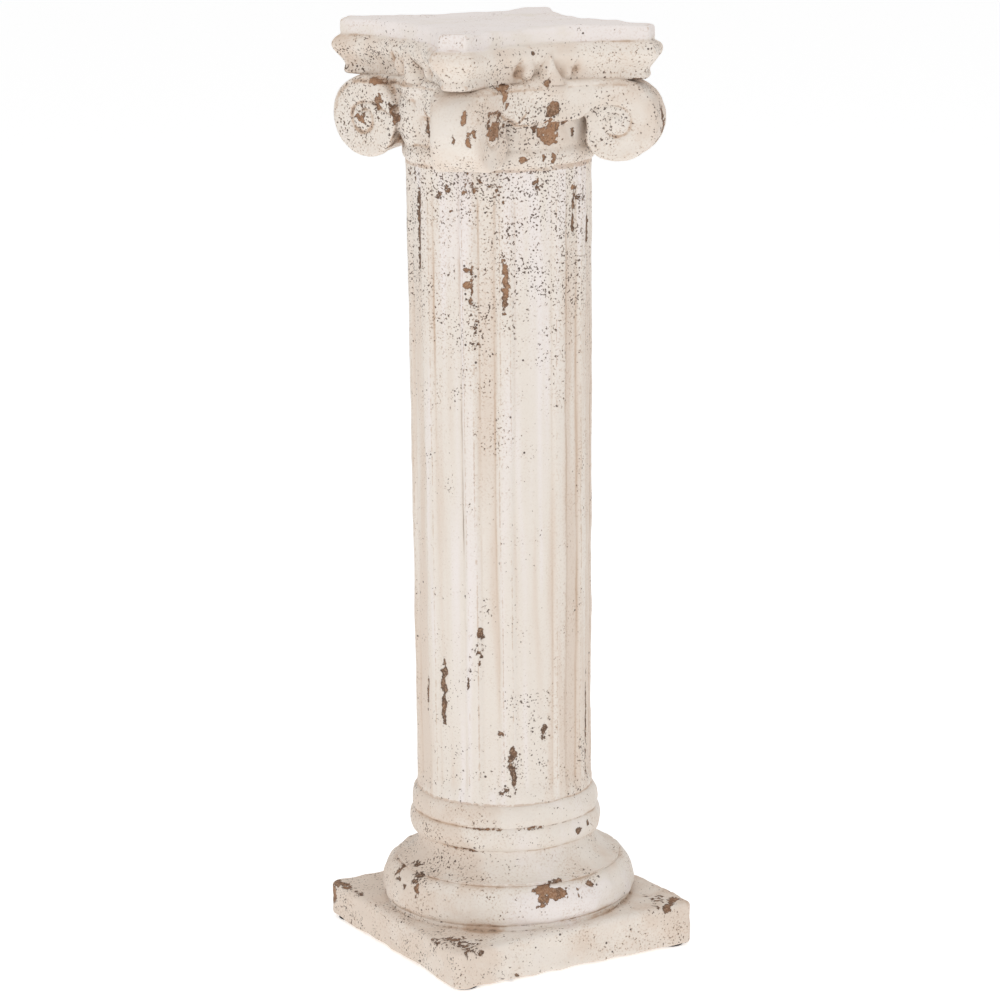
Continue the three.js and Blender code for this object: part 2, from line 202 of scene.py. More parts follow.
# Spiral of a volute's face: turns round its eye, the groove's radius there, and the step up outside it
SPIRAL_FIRST_TURN = 176.0
SPIRAL_TURNS = np.array([
    -360.0, -209.0, -158.0, -92.0, -45.0, 40.0, 70.0, 103.0, 132.0, 155.0, 169.0, SPIRAL_FIRST_TURN,
])
SPIRAL_RADII = np.array([5.0, 7.6, 9.6, 12.2, 13.0, 12.6, 12.4, 13.2, 15.8, 18.9, 24.2, 28.5])
SPIRAL_STEPS = np.array([0.0, 0.2, 0.5, 0.9, 1.2, 1.6, 1.9, 2.4, 2.9, 3.2, 3.4, 3.4])
SPIRAL_DEPTH = 2.2
SPIRAL_HALF_WIDTH = 1.6
SCROLL_DOME = 1.8
SCROLL_DOME_RADIUS = 12.0
EYE_RADIUS = 4.8
EYE_HEIGHT = 1.5

# Flower on each abacus side, a tongue between two lobes; a lobe gives its place across the side,
# height, place out from the axis, half width, depth and half height
FLOWER_LOBES = [(-15.5, 730.5, 72.0, 7.4, 10.4, 11.0), (20.5, 727.5, 72.0, 5.6, 5.4, 8.6)]
TONGUE_TOP = 743.0
TONGUE_FOOT = 719.0
TONGUE_HALF_WIDTH = 12.5
TONGUE_LEAN = 4.6
TONGUE_ROOT = 67.0
TONGUE_REACH = 85.0
LOBE_FLATNESS = 0.36
FLOWER_NOTCHES = [(-25.0, 731.0), (28.0, 729.5)]
NOTCH_DEPTH = 3.4
NOTCH_HALF_WIDTH = 2.8
NOTCH_HALF_HEIGHT = 8.0
FLOWER_STEM = (-1.0, 713.5, 66.0, 27.0, 18.8, 14.0)
FLOWER_SOFTNESS = 0.5
# Swelling that closes the gap between the wide volute and the drum, given as a lobe of the left side
LEFT_SWELLING = (-10.0, 690.0, 62.0, 24.0, 22.0, 32.0)
LOBE_EDGE = 5.0

# Places where the paint is gone: azimuth and distance from the axis, height, then half breadth,
# half depth and half height of the bare patch, and how dark the clay is there
FOOT_MARKS = [
    (172, 97, 65, 4, 8, 4, 0.6), (-172, 98, 64, 5, 8, 1.6, 0.9), (-168, 99, 60, 3, 8, 6, 0.5),
    (176, 99, 60, 4, 8, 1.6, 0.8), (-177, 98, 58, 2, 8, 3, 0.8), (-103, 95, 66, 8, 9, 3.4, 0.4),
    (-96.5, 99, 62.5, 9.5, 9, 5, 0.4), (-104, 100, 58, 5, 8, 5, 0.4), (-77, 98, 64.5, 3, 8, 2.2, 0.7),
    (179, 85, 72, 6, 7, 1.4, 0.9), (-71, 79, 103, 3, 7, 3, 0.8), (-61, 79, 107, 1.6, 7, 2.6, 0.9),
    (-96, 92, 70, 6, 5, 1.2, 0.7), (138, 150, 33, 9, 6, 5, 0.6), (141.6, 139, 34, 10, 8, 4, 0.6),
    (137, 153, 22, 4, 5, 10, 0.5), (149, 124, 34, 6, 3, 3, 0.8), (-44.2, 142, 35, 9, 7, 4, 0.6),
    (-36, 138.5, 35, 5, 4, 4, 0.7), (-51, 140, 35, 10, 2.6, 4, 0.7), (-137, 76, 112.6, 9, 6, 0.9, 0.2),
    (-105, 76, 112.6, 6, 6, 0.9, 0.2), (-150, 74, 93, 12, 6, 1.0, 0.5), (30, 104, 55, 9, 8, 6, 0.4),
    (75, 99, 63, 5, 8, 4, 0.5), (110, 79, 104, 5, 7, 3, 0.5),
]
SHAFT_MARKS = [
    (-117.2, 73, 573, 2.3, 9, 9, 0.2), (-116.8, 73, 566, 2.2, 9, 9, 0.2),
    (-116.4, 73, 556, 3.4, 9, 7, 0.3), (-117.4, 73, 547, 2.4, 9, 9, 0.5),
    (-140, 73, 560, 3.6, 9, 3.6, 0.2), (-137.4, 73, 560, 1.3, 9, 12, 0.4),
    (-138, 73, 549, 1.7, 9, 5, 0.5), (-140.6, 73, 572, 2.6, 9, 1.5, 0.3),
    (178.6, 72, 620, 3.2, 8, 15, 0.9), (177.8, 72, 594, 2.2, 8, 26, 0.9),
    (-44.4, 72, 598, 4.2, 9, 13, 0.8), (-66, 72, 620, 1.9, 9, 11, 0.7),
    (-66.4, 72, 606, 1.6, 9, 7, 0.7), (-68, 72, 634, 3.0, 9, 2.2, 0.4),
    (178.6, 70, 217, 2.0, 8, 11, 0.8), (-163.4, 70, 232, 2.9, 8, 13, 0.8),
    (-163.6, 70, 211, 2.5, 8, 14, 0.8), (-163, 70, 247, 1.6, 8, 4, 0.8),
    (-143.2, 71, 231, 1.3, 9, 5.5, 0.8), (-134, 71, 275, 3.0, 9, 4.5, 0.7),
    (-91.6, 70, 191, 3.2, 9, 6, 0.9), (-114, 72, 173, 2.8, 9, 8, 0.9),
    (-113.4, 72, 157, 3.2, 9, 11, 0.9), (-116, 72, 165, 2.6, 9, 4, 0.9),
    (-122, 71, 192, 2.2, 9, 2, 0.5), (-46, 70, 190, 1.8, 9, 26, 0.9), (-47.5, 70, 153, 2.2, 9, 10, 0.9),
    (-45.6, 70, 214, 1.5, 9, 12, 0.9), (60, 72, 560, 3, 9, 16, 0.3), (24, 72, 300, 2.4, 9, 14, 0.7),
    (96, 71, 230, 3, 9, 12, 0.7), (118, 73, 610, 3, 9, 8, 0.3), (10, 73, 632, 3, 9, 6, 0.4),
    (132, 71, 180, 2.6, 9, 9, 0.8),
]
CAPITAL_MARKS = [
    (-117.5, 90, 718.6, 8, 10, 2.4, 0.3), (-116.4, 92, 710.5, 2.8, 9, 7, 0.2),
    (-122, 103.5, 686, 6.5, 9, 7.5, 0.3), (-123, 107, 700.6, 8, 9, 1.5, 0.4),
    (-119.6, 96, 697.5, 1.8, 9, 3.4, 0.5), (-124, 108, 693, 1.4, 9, 4, 0.7),
    (-87.6, 80, 699, 5.4, 8, 5.6, 0.5), (-87, 75.6, 678.5, 8, 8, 10, 0.1), (-77, 76, 686, 3, 7, 2, 0.7),
    (-95.5, 75.6, 680.5, 3.5, 8, 4, 0.3), (-130, 132, 685, 2.2, 9, 8, 0.0),
    (-131.6, 129, 699, 2.2, 9, 4.5, 0.0), (-128, 132, 688, 1.2, 9, 4, 0.3),
    (-135, 132, 682, 1.0, 9, 3, 0.2), (153.4, 109, 686, 4.4, 9, 4.4, 0.3),
    (162.4, 95.6, 700.5, 5, 9, 5.2, 0.5), (159, 98, 716.6, 9, 9, 2.8, 0.2),
    (171.5, 87.5, 688, 2.6, 9, 5, 0.5), (-167.7, 75.5, 683, 1.8, 6, 6, 0.8),
    (170.5, 88, 703, 1.4, 8, 9, 0.8), (-44, 132, 690, 4, 8, 7, 0.8), (-42, 132, 676, 2.6, 7, 8, 0.6),
    (-98.6, 75.5, 684, 1.8, 7, 4, 0.3), (-68.5, 75.5, 677, 2, 7, 4, 0.6),
    (-106, 78, 660, 4, 7, 2.6, 0.2), (-86.3, 78, 661.5, 1.8, 7, 5, 0.3),
    (-93, 78, 661, 1.6, 7, 2.6, 0.3), (-92.3, 85, 719, 2.2, 9, 3, 0.5),
    (-50.3, 118, 718, 11, 6, 1.2, 0.7), (-100, 89, 744, 1.8, 8, 1.6, 0.9), (40, 132, 690, 4, 8, 9, 0.5),
    (10, 79, 700, 6, 8, 5, 0.3), (80, 76, 680, 5, 8, 6, 0.2), (120, 78, 661, 5, 7, 3, 0.4),
]
# Patches worn to crumbs: the same places and half sizes, then how dark, and how many crumbs
FOOT_CRUMBS = [
    (-145, 129, 34, 12, 5, 1, 0.8, 30), (-139, 130, 34, 15, 10, 1, 0.8, 52),
    (-133, 139, 34, 12, 8, 1, 0.8, 44), (-45.8, 128, 35, 15, 10, 1, 0.8, 44),
    (-129, 145, 34, 7, 5, 1, 0.8, 10), (-119, 122, 4, 16, 4, 5, 0.6, 14),
    (146, 128, 34, 16, 6, 1, 0.8, 14), (-170, 92, 69, 12, 3, 3, 0.9, 9),
    (-66, 79, 108, 8, 4, 3, 0.9, 5), (44, 138, 34, 18, 8, 1, 0.7, 22), (-88, 101, 58, 14, 4, 5, 0.5, 4),
]
SHAFT_CRUMBS = [
    (-138, 74, 640, 9, 3, 6, 0.4, 20), (-120, 74, 638, 8, 3, 8, 0.5, 9),
    (172, 74, 646, 14, 3, 5, 0.9, 20), (-136, 71, 262, 6, 3, 12, 0.8, 14),
    (-62, 73, 630, 8, 3, 8, 0.6, 12), (-117, 72, 142, 12, 3, 4, 0.9, 9),
    (-96, 74, 636, 7, 3, 8, 0.5, 9), (-111, 73, 530, 1.6, 3, 26, 0.9, 16),
    (-136, 73, 528, 2.6, 3, 24, 0.9, 14), (70, 74, 640, 14, 3, 7, 0.5, 20),
    (-156, 73, 632, 9, 3, 9, 0.6, 12),
]
CAPITAL_CRUMBS = [
    (-118, 96, 688, 10, 8, 12, 0.7, 12), (-95, 76, 680, 14, 3, 8, 0.6, 10),
    (-44, 131, 684, 5, 5, 14, 0.8, 12), (154, 108, 688, 14, 9, 14, 0.7, 16),
    (160, 97, 726, 12, 9, 6, 0.6, 9),
]
# Places where the pits lie thicker: the same places and half sizes, then how much thicker
FOOT_PITS = [
    (-170, 88, 78, 26, 12, 9, 0.35), (-45, 118, 20, 40, 20, 12, 0.2), (-139, 138, 34, 34, 14, 6, 0.35),
]
SHAFT_PITS = [
    (-78, 68, 580, 56, 40, 66, 0.2), (172, 73, 600, 26, 20, 60, 0.3), (-150, 73, 520, 24, 16, 34, 0.3),
    (-118, 73, 646, 100, 70, 28, 0.34), (-165, 73, 640, 30, 20, 14, 0.3),
    (-125, 73, 636, 26, 12, 14, 0.3), (-128, 73, 530, 10, 10, 60, 0.25), (60, 73, 600, 50, 30, 60, 0.3),
]
CAPITAL_PITS = [
    (-58, 106, 682, 24, 16, 22, 0.25), (150, 105, 690, 26, 18, 26, 0.3),
    (-100, 80, 676, 44, 14, 18, 0.25), (158, 98, 732, 30, 20, 10, 0.3),
    (-115, 96, 726, 26, 16, 12, 0.25), (-45, 131, 742, 16, 16, 14, 0.3),
    (-95, 78, 658, 90, 20, 6, 0.25), (-135, 132, 690, 22, 20, 34, -0.5),
    (-135, 118, 745, 24, 24, 16, -0.5), (-88, 82, 730, 12, 9, 11, -0.3),
]

# Stained places on the plinth beside the torus, given in the same way
FOOT_STAINS = [(-160, 110, 34, 46, 11, 8, 0.6), (-92, 108, 34, 40, 7, 8, 0.3)]

# Paler places of the front corner, given in the same way
PALE_CORNER = [(-135, 132, 690, 24, 24, 36, 1.0), (-135, 118, 745, 26, 26, 18, 1.0)]

# Crumbs, torn edges and the rounds of smoothing that find narrow hollows for the wash and wide hollows for
# painted shade
CRUMB_LARGEST = 1.8
CRUMB_DEPTH = 5.0
RAGGED_EDGE = 0.28
FAR_FROM_BARE = 12.0
CLOSE_ROUNDS = 10
SHADE_ROUNDS = 70

# How uneven each piece is, the flow of paint that isn't drawn out, and each piece's random seed
FOOT_LUMPS = 1.7
SHAFT_LUMPS = 0.65
CAPITAL_LUMPS = 1.2
PLAIN_FLOW = 1.0
FOOT_SEED = 100
SHAFT_SEED = 200
CAPITAL_SEED = 300

# Azimuths of the column's sides, the first giving the sides darkened as painted shade, and the heights
# between which its paint changes
SHADED_SIDE_AZIMUTH = -30.0
FOOT_LEFT_AZIMUTH = 170.0
CAPITAL_LEFT_AZIMUTH = 165.0
TORUS_FADE = (70.0, 60.0)
SLOPE_PITS = (80.0, 14.0)  # middle and half height
SHAFT_UPPER_PITS = (380.0, 640.0)
SHAFT_LOWER_PITS = (300.0, 150.0)
SHAFT_WARM_FOOT = (320.0, 200.0)
SHAFT_PALE_HEAD = (520.0, 620.0)
DRUM_FADE = (704.0, 690.0)
DRUM_EDGE = (88.0, 78.0)  # distances from the axis
SLAB_RISE = (747.0, 752.0)
TOP_RISE = (757.0, 759.0)

# Stage: half the floor's width, what the lights look at, and each light's place and size, in metres
FLOOR_HALF = 20.0
LIGHT_AIM = (0.0, 0.0, 0.38)
KEY_LIGHT = ((-2.6, -2.4, 2.0), 2.4)
SIDE_LIGHT = ((2.4, -1.6, 1.4), 2.0)
TOP_LIGHT = ((0.0, 0.0, 3.0), 2.0)

# Camera of the photograph: where it stands in metres, how it is turned in degrees, and its lens
CAMERA_PLACE = (-1.5058, -2.6257, 1.0662)
CAMERA_AZIMUTH = -29.750
CAMERA_PITCH = 12.951
CAMERA_ROLL = -0.519
CAMERA_LENS = 136.69
SENSOR_WIDTH = 36.0


def shade(red, green, blue):
    """Linear colour of three display values out of 255."""
    display = np.array([red, green, blue]) / 255
    linear = np.where(display <= 0.04045, display / 12.92, ((display + 0.055) / 1.055) ** 2.4)
    return tuple(float(part) for part in linear)


class ColumnSizes(bpy.types.PropertyGroup):
    """Sizes of the casting's finer relief."""

    flute_depth: FloatProperty(
        name="Flute depth", description="Depth of a flute at its middle", default=0.0030, unit="LENGTH"
    )
    swell: FloatProperty(
        name="Swell", description="How far the cast faces stray from true", default=0.00034, unit="LENGTH"
    )
    chip_depth: FloatProperty(
        name="Chip depth", description="Depth of the bare patches", default=0.0008, unit="LENGTH"
    )
    voxel: FloatProperty(
        name="Capital grain", description="Voxel that fuses the capital", default=0.00134, unit="LENGTH"
    )


class ColumnColours(bpy.types.PropertyGroup):
    """Colours of the paint, the wash and the clay."""

    cream: FloatVectorProperty(
        name="Cream", description="Main paint", subtype="COLOR", size=3, default=shade(230, 221, 211)
    )
    warm: FloatVectorProperty(
        name="Warm", description="Yellowed paint", subtype="COLOR", size=3, default=shade(222, 207, 193)
    )
    pale: FloatVectorProperty(
        name="Pale", description="Chalky streaks", subtype="COLOR", size=3, default=shade(236, 228, 224)
    )
    # The tan wash colour also stands as painted shade in wide hollows
    wash: FloatVectorProperty(
        name="Wash", description="Tan in the hollows", subtype="COLOR", size=3, default=shade(190, 160, 134)
    )
    clay: FloatVectorProperty(
        name="Clay", description="Bare clay", subtype="COLOR", size=3, default=shade(160, 120, 90)
    )
    # Dark clay also goes into the deepest creases as painted shade with the wash
    dark_clay: FloatVectorProperty(
        name="Dark clay", description="Stained clay", subtype="COLOR", size=3, default=shade(96, 74, 60)
    )
    # Speck colour also stands as painted shadow along the torn edges of bare patches
    speck: FloatVectorProperty(
        name="Speck", description="Pits in the paint", subtype="COLOR", size=3, default=shade(76, 59, 50)
    )
    rubber: FloatVectorProperty(
        name="Pads", description="Foot pads", subtype="COLOR", size=3, default=shade(42, 37, 34)
    )


class StageSettings(bpy.types.PropertyGroup):
    """Camera lens and light levels."""

    lens: FloatProperty(name="Lens", description="Focal length in millimetres", default=CAMERA_LENS)
    key_power: FloatProperty(name="Key", description="Big soft light in front", default=24.0, unit="POWER")
    side_power: FloatProperty(name="Side", description="Light from the right", default=3.0, unit="POWER")
    top_power: FloatProperty(name="Top", description="Soft light from above", default=15.5, unit="POWER")
    sky: FloatProperty(name="Sky", description="Even light from all round", default=0.62)
    glow: FloatProperty(name="Floor glow", description="Light the pale floor gives back", default=0.41)
    floor: FloatVectorProperty(
        name="Floor", description="Pale floor", subtype="COLOR", size=3, default=shade(250, 250, 250)
    )


def smooth_step(low, high, value):
    """Rises from 0 at low to 1 at high along a cubic that is level at both ends."""
    share = np.clip((value - low) / (high - low), 0, 1)
    return share * share * (3 - 2 * share)


def hump(value):
    """Soft hump: 1 at nought, fading out on either side within about two."""
    return np.exp(-(value**2))


def folded(angles):
    """Angle from the middle of the nearest of four sides."""
    return (angles + np.pi / 4) % (np.pi / 2) - np.pi / 4


def compass(angle):
    """Unit vectors outwards along an angle and sideways from it."""
    outward = np.array([math.cos(angle), math.sin(angle), 0.0])
    return outward, np.array([-outward[1], outward[0], 0.0])


def rounded_edge(radius, steps=7):
    """Inset and rise of points round a quarter circle, from the flat face to the upright one."""
    quarter = np.linspace(0, np.pi / 2, steps)
    return [(radius * (1 - math.sin(turn)), radius * (1 - math.cos(turn))) for turn in quarter]


def ripple(points, wavelength, seed, waves=28):
    """Smooth random field of unit spread: plane waves near one wavelength, in random directions, summed."""
    random = np.random.default_rng(seed)
    heading = random.normal(size=(3, waves))
    heading /= np.linalg.norm(heading, axis=0)
    heading *= 2 * np.pi / wavelength * random.uniform(0.75, 1.3, waves)
    phase = random.uniform(0, 2 * np.pi, waves)
    return np.sin(points @ heading + phase).sum(axis=1) * math.sqrt(2 / waves)


def even(line, spacing):
    """The same line with its points an even spacing apart along its length."""
    line = np.asarray(line, float)
    run = np.concatenate([[0], np.cumsum(np.linalg.norm(np.diff(line, axis=0), axis=1))])
    at = np.linspace(0, run[-1], max(int(round(run[-1] / spacing)), 2) + 1)
    return np.stack([np.interp(at, run, line[:, k]) for k in range(line.shape[1])], axis=1)


def arc(radius, height, wide, tall, start, end, steps=20):
    """Points of an elliptic arc in a turned profile, from one angle to another in degrees, rising."""
    turn = np.radians(np.linspace(start, end, steps + 1))
    return np.stack([radius + wide * np.cos(turn), height + tall * np.sin(turn)], axis=1)


def closed_skin(rings):
    """Points and faces of a closed skin over rings of points: quads between rings, a fan at each end."""
    rows, count, _ = rings.shape
    hubs = np.stack([rings[0].mean(axis=0), rings[-1].mean(axis=0)])
    points = np.concatenate([rings.reshape(-1, 3), hubs])
    row = np.arange(rows - 1)[:, None] * count
    here = np.arange(count)
    there = (here + 1) % count
    above = row + count
    quads = np.stack([row + here, row + there, above + there, above + here], axis=-1).reshape(-1, 4)
    first_hub = np.full(count, rows * count)
    last = (rows - 1) * count
    fans = np.concatenate([
        np.stack([first_hub, there, here], axis=1),
        np.stack([first_hub + 1, last + here, last + there], axis=1),
    ])
    return points, quads, fans


def inside_out(points, quads):
    """True if the faces of a skin point inwards, from the sign of the volume they sweep."""
    a, b, c, d = (points[quads[:, k]] for k in range(4))
    return np.einsum("ij,ij->i", np.cross(c - a, d - b), a + b + c + d).sum() < 0


def mesh_of(name, skins):
    """One mesh in metres from closed skins in millimetres, every face pointing outwards."""
    points, faces = [], []
    start = 0
    for skin_points, quads, fans in skins:
        if inside_out(skin_points - skin_points.mean(axis=0), quads):
            quads, fans = quads[:, ::-1], fans[:, ::-1]
        points.append(skin_points)
        faces += (quads + start).tolist() + (fans + start).tolist()
        start += len(skin_points)
    mesh = bpy.data.meshes.new(name)
    mesh.from_pydata((np.concatenate(points) * MM).tolist(), [], faces)
    mesh.update()
    return mesh


def turned_rings(profile, count, axis=MIDDLE):
    """Rings of a turned body: each [radius, height] point of the profile carried round the axis."""
    turn = np.linspace(0, 2 * np.pi, count, endpoint=False)
    radius = profile[:, :1]
    height = np.broadcast_to(profile[:, 1:], (len(profile), count))
    return np.stack([radius * np.cos(turn), radius * np.sin(turn), height], axis=-1) + axis


def square_reach(angles, half, corners):
    """Distance to the edge of a rounded square along each angle: the side's straight line, or the
    corner's circle."""
    fold = np.abs(folded(angles))
    side = half / np.cos(fold)
    centre = half - corners
    nearest = centre * (np.cos(fold) + np.sin(fold))
    rounded = nearest + np.sqrt(np.maximum(corners**2 - 2 * centre**2 + nearest**2, 0))
    return np.where(side * np.sin(fold) <= centre, side, rounded)


def base_profile():
    """Turned profile of the base: fillet, torus, groove, hollow slope, two rings, and in under the shaft."""
    shoulder, foot = SLOPE_SHOULDER, SLOPE_FOOT
    return np.concatenate([
        [(FILLET_RADIUS, PLINTH_TOP), (FILLET_RADIUS, FILLET_TOP)],
        arc(TORUS_RADIUS - TORUS_FOOT_ROUND, TORUS_MIDDLE, TORUS_FOOT_ROUND,
            TORUS_MIDDLE - FILLET_TOP, -78, 0),
        arc(TORUS_RADIUS - TORUS_CROWN_WIDE, TORUS_MIDDLE, TORUS_CROWN_WIDE, TORUS_CROWN_TALL, 0, 56),
        [TORUS_GROOVE],
        arc(shoulder[0], foot[1], foot[0] - shoulder[0], shoulder[1] - foot[1], 90, 0),
        arc(LOWER_RING_RADIUS - LOWER_RING_ROUND, LOWER_RING_MIDDLE, LOWER_RING_ROUND,
            LOWER_RING_MIDDLE - foot[1], -90, 60),
        [RING_GROOVE],
        arc(UPPER_RING_RADIUS - UPPER_RING_ROUND, UPPER_RING_MIDDLE, UPPER_RING_ROUND,
            UPPER_RING_TOP - UPPER_RING_MIDDLE, -12, 85),
        [(UNDER_SHAFT_RADIUS, UPPER_RING_TOP)],
    ])


def foot_skin():
    """Plinth and turned base as one skin: each row is a distance from the middle along every angle, the
    plinth's rows a rounded square, its top face blending from that square to the base's circle, the base's
    rows circles."""
    turn = np.linspace(0, 2 * np.pi, PLINTH_COUNT, endpoint=False)
    angles = turn + PLINTH_CROWDING / 4 * np.sin(4 * turn)
    corners = PLINTH_CORNERS[(angles // (np.pi / 2)).astype(int) % 4]

    def square(inset):
        return square_reach(angles, PLINTH_HALF - inset, np.maximum(corners - inset / 2, 1.5))

    low, high = PLINTH_BOTTOM_EDGE, PLINTH_TOP_EDGE
    rows = [(square(low) * share, PLINTH_BOTTOM) for share in UNDERSIDE_ROWS]
    rows += [(square(inset), PLINTH_BOTTOM + rise) for inset, rise in rounded_edge(low)]
    side = np.linspace(PLINTH_BOTTOM + low, PLINTH_TOP - high, PLINTH_SIDE_ROWS)
    rows += [(square(0), z) for z in side[1:-1]]
    rows += [(square(inset), PLINTH_TOP - drop) for inset, drop in reversed(rounded_edge(high))]
    for share in np.linspace(0, 1, PLINTH_TOP_ROWS)[1:-1]:
        rows.append((square(high) * (1 - share) + FILLET_RADIUS * share, PLINTH_TOP))
    for radius, height in even(base_profile(), BASE_SPACING):
        rows.append((np.full(PLINTH_COUNT, radius), height))
    reach = np.stack([row[0] for row in rows])
    height = np.array([row[1] for row in rows])[:, None]
    x, y = reach * np.cos(angles), reach * np.sin(angles)
    uphill = math.radians(PLINTH_TILT_AZIMUTH)
    slope = PLINTH_TILT / PLINTH_HALF * (x * math.cos(uphill) + y * math.sin(uphill))
    lifted = smooth_step(PLINTH_BOTTOM + low, PLINTH_TOP, height)
    lifted = lifted * smooth_step(TORUS_MIDDLE, FILLET_TOP, height)
    rings = np.stack([x, y, height + slope * lifted], axis=-1)
    return closed_skin(rings + SHAFT_AXIS * smooth_step(*AXIS_SHIFT, height)[..., None])


def rib_angles():
    """Rib centres round the shaft in degrees, by turns a wide and a narrow flute apart, one moved."""
    first = FLUTE_FIRST_ANGLE + PAIR_ANGLE * np.arange(FLUTE_PAIRS)
    angles = np.stack([first, first + WIDE_FLUTE_ANGLE], axis=1).ravel()
    angles[MOVED_RIB] += MOVED_RIB_ANGLE
    return angles


def rib_place(degrees):
    """How far each angle lies from the nearest rib in degrees, and its share of the way from rib to rib."""
    ribs = np.sort(rib_angles())
    ring = np.concatenate([ribs, ribs[:1] + 360])
    place = (degrees - ribs[0]) % 360 + ribs[0]
    behind = np.searchsorted(ring, place, side="right") - 1
    gap = ring[behind + 1] - ring[behind]
    share = (place - ring[behind]) / gap
    return np.minimum(share, 1 - share) * gap, share


def flute_depth(degrees, depth):
    """Depth under the ribs at each angle: nothing on a rib's crown, a soft step at its foot, then a shallow
    hollow that is deepest half way to the next rib."""
    nearest, share = rib_place(degrees)
    step = smooth_step(RIB_CROWN_HALF_ANGLE, RIB_FOOT_HALF_ANGLE, nearest)
    return step * (FLUTE_EDGE_DEPTH + (depth - FLUTE_EDGE_DEPTH) * np.sin(np.pi * share))


def flute_wander(points):
    """How far the flutes stray from straight at each point, in degrees."""
    return FLUTE_WANDER * ripple(points * (1, 1, 0.5), FLUTE_WANDER_LENGTH, 11)


def shaft_skin(depth):
    """Fluted shaft: radius as a function of angle and height, a straight taper less the flutes, which
    wander a little with height, die away at the foot and grow shallow at the head."""
    degrees = np.linspace(0, 360, SHAFT_COUNT, endpoint=False)[None, :]
    turn = np.radians(degrees)
    height = np.linspace(SHAFT_BOTTOM, SHAFT_TOP, SHAFT_ROWS)[:, None]
    share = (height - SHAFT_BOTTOM) / (SHAFT_TOP - SHAFT_BOTTOM)
    radius = SHAFT_FOOT_RADIUS + (SHAFT_HEAD_RADIUS - SHAFT_FOOT_RADIUS) * share
    x, y = WANDER_RADIUS * np.cos(turn), WANDER_RADIUS * np.sin(turn)
    round_points = np.stack(np.broadcast_arrays(x, y, height), axis=-1)
    wander = flute_wander(round_points.reshape(-1, 3)).reshape(SHAFT_ROWS, SHAFT_COUNT)
    fade = smooth_step(FLUTE_START, FLUTE_FULL, height + wander * START_WANDER)
    fade = fade * (1 - FLUTE_FADE * smooth_step(FLUTE_FADE_START, FLUTE_FADE_END, height))
    reach = radius - fade * flute_depth(degrees + wander, depth)
    height = np.broadcast_to(height, reach.shape)
    rings = np.stack([reach * np.cos(turn), reach * np.sin(turn), height], axis=-1)
    return closed_skin(rings + SHAFT_AXIS)


def neck_skin():
    """Turned neck: in at the foot, astragal, and the plain drum that carries the channel band."""
    half = (ASTRAGAL_TOP - ASTRAGAL_BOTTOM) / 2
    profile = np.concatenate([
        [(NECK_CORE_RADIUS, NECK_BOTTOM), (NECK_FOOT_RADIUS, NECK_BOTTOM), NECK_LINE],
        arc(ASTRAGAL_RADIUS - ASTRAGAL_ROUND, ASTRAGAL_BOTTOM + half, ASTRAGAL_ROUND, half, -75, 72),
        [DRUM_FOOT, (DRUM_RADIUS, DRUM_FOOT[1] + 3), (DRUM_RADIUS, DRUM_TOP), (NECK_CORE_RADIUS, DRUM_TOP)],
    ])
    return closed_skin(turned_rings(even(profile, NECK_SPACING), NECK_COUNT, SHAFT_AXIS))


def concave_reach(angles, middle, reach, centre):
    """Distance to a plan with four concave sides and cut corners: the nearer of the side's arc and the
    corner's straight cut along each angle, rounded where they meet."""
    fold = np.abs(folded(angles))
    under = (centre - middle) ** 2 - (centre * np.sin(fold)) ** 2
    side = np.where(under > 0, centre * np.cos(fold) - np.sqrt(np.maximum(under, 0)), 2 * reach)
    cut = reach / np.cos(np.pi / 4 - fold)
    return -CORNER_SOFTNESS * np.logaddexp(-side / CORNER_SOFTNESS, -cut / CORNER_SOFTNESS)


def stacked_rings(plans):
    """Rings of concave plans stacked up: each plan gives its middle, reach, arc centre and height."""
    angles = np.linspace(0, 2 * np.pi, ABACUS_COUNT, endpoint=False)
    reach = np.stack([concave_reach(angles, middle, far, centre) for middle, far, centre, _ in plans])
    height = np.broadcast_to(np.array([plan[3] for plan in plans])[:, None], reach.shape)
    return angles, reach, height


def placed_rings(angles, reach, height):
    """Points of rings from their angles, distances from the shaft's axis and heights."""
    return np.stack([reach * np.cos(angles), reach * np.sin(angles), height], axis=-1) + SHAFT_AXIS


def band_skin():
    """Channel band: one concave plan from volute to volute, its edges rounded, a line cut under its fillet,
    and its lower edge lifted towards the volutes, where it runs into their spirals, and on the left side."""
    edge = rounded_edge(BAND_ROUND)
    low = [(inset, BAND_BOTTOM + rise) for inset, rise in edge]
    heights = np.arange(BAND_BOTTOM + BAND_ROUND + BAND_SPACING, BAND_TOP - BAND_ROUND, BAND_SPACING)
    face = [(0.0, z) for z in heights]
    high = [(inset, BAND_TOP - drop) for inset, drop in reversed(edge)]
    angles, reach, height = stacked_rings([
        (BAND_MIDDLE - inset, BAND_REACH, BAND_ARC_CENTRE, z) for inset, z in low + face + high
    ])
    fold = np.degrees(np.abs(folded(angles)))
    lift = BAND_LIFT * smooth_step(BAND_LIFT_START, BAND_LIFT_END, fold)
    lift = np.maximum(lift, LEFT_BAND_RISE * smooth_step(0.5, 0.9, -np.cos(angles)))
    height = height + lift * (BAND_TOP - height) / (BAND_TOP - BAND_BOTTOM)
    line = FILLET_LINE_DEPTH * hump((height - FILLET_LINE) / FILLET_LINE_HALF_WIDTH)
    return closed_skin(placed_rings(angles, reach - line, height))


def notches(across, height):
    """Share of the small hollows beside a flower: a soft bump at each notch of an abacus side."""
    return sum(
        hump((across - middle) / NOTCH_HALF_WIDTH) * hump((height - centre) / NOTCH_HALF_HEIGHT)
        for middle, centre in FLOWER_NOTCHES
    )


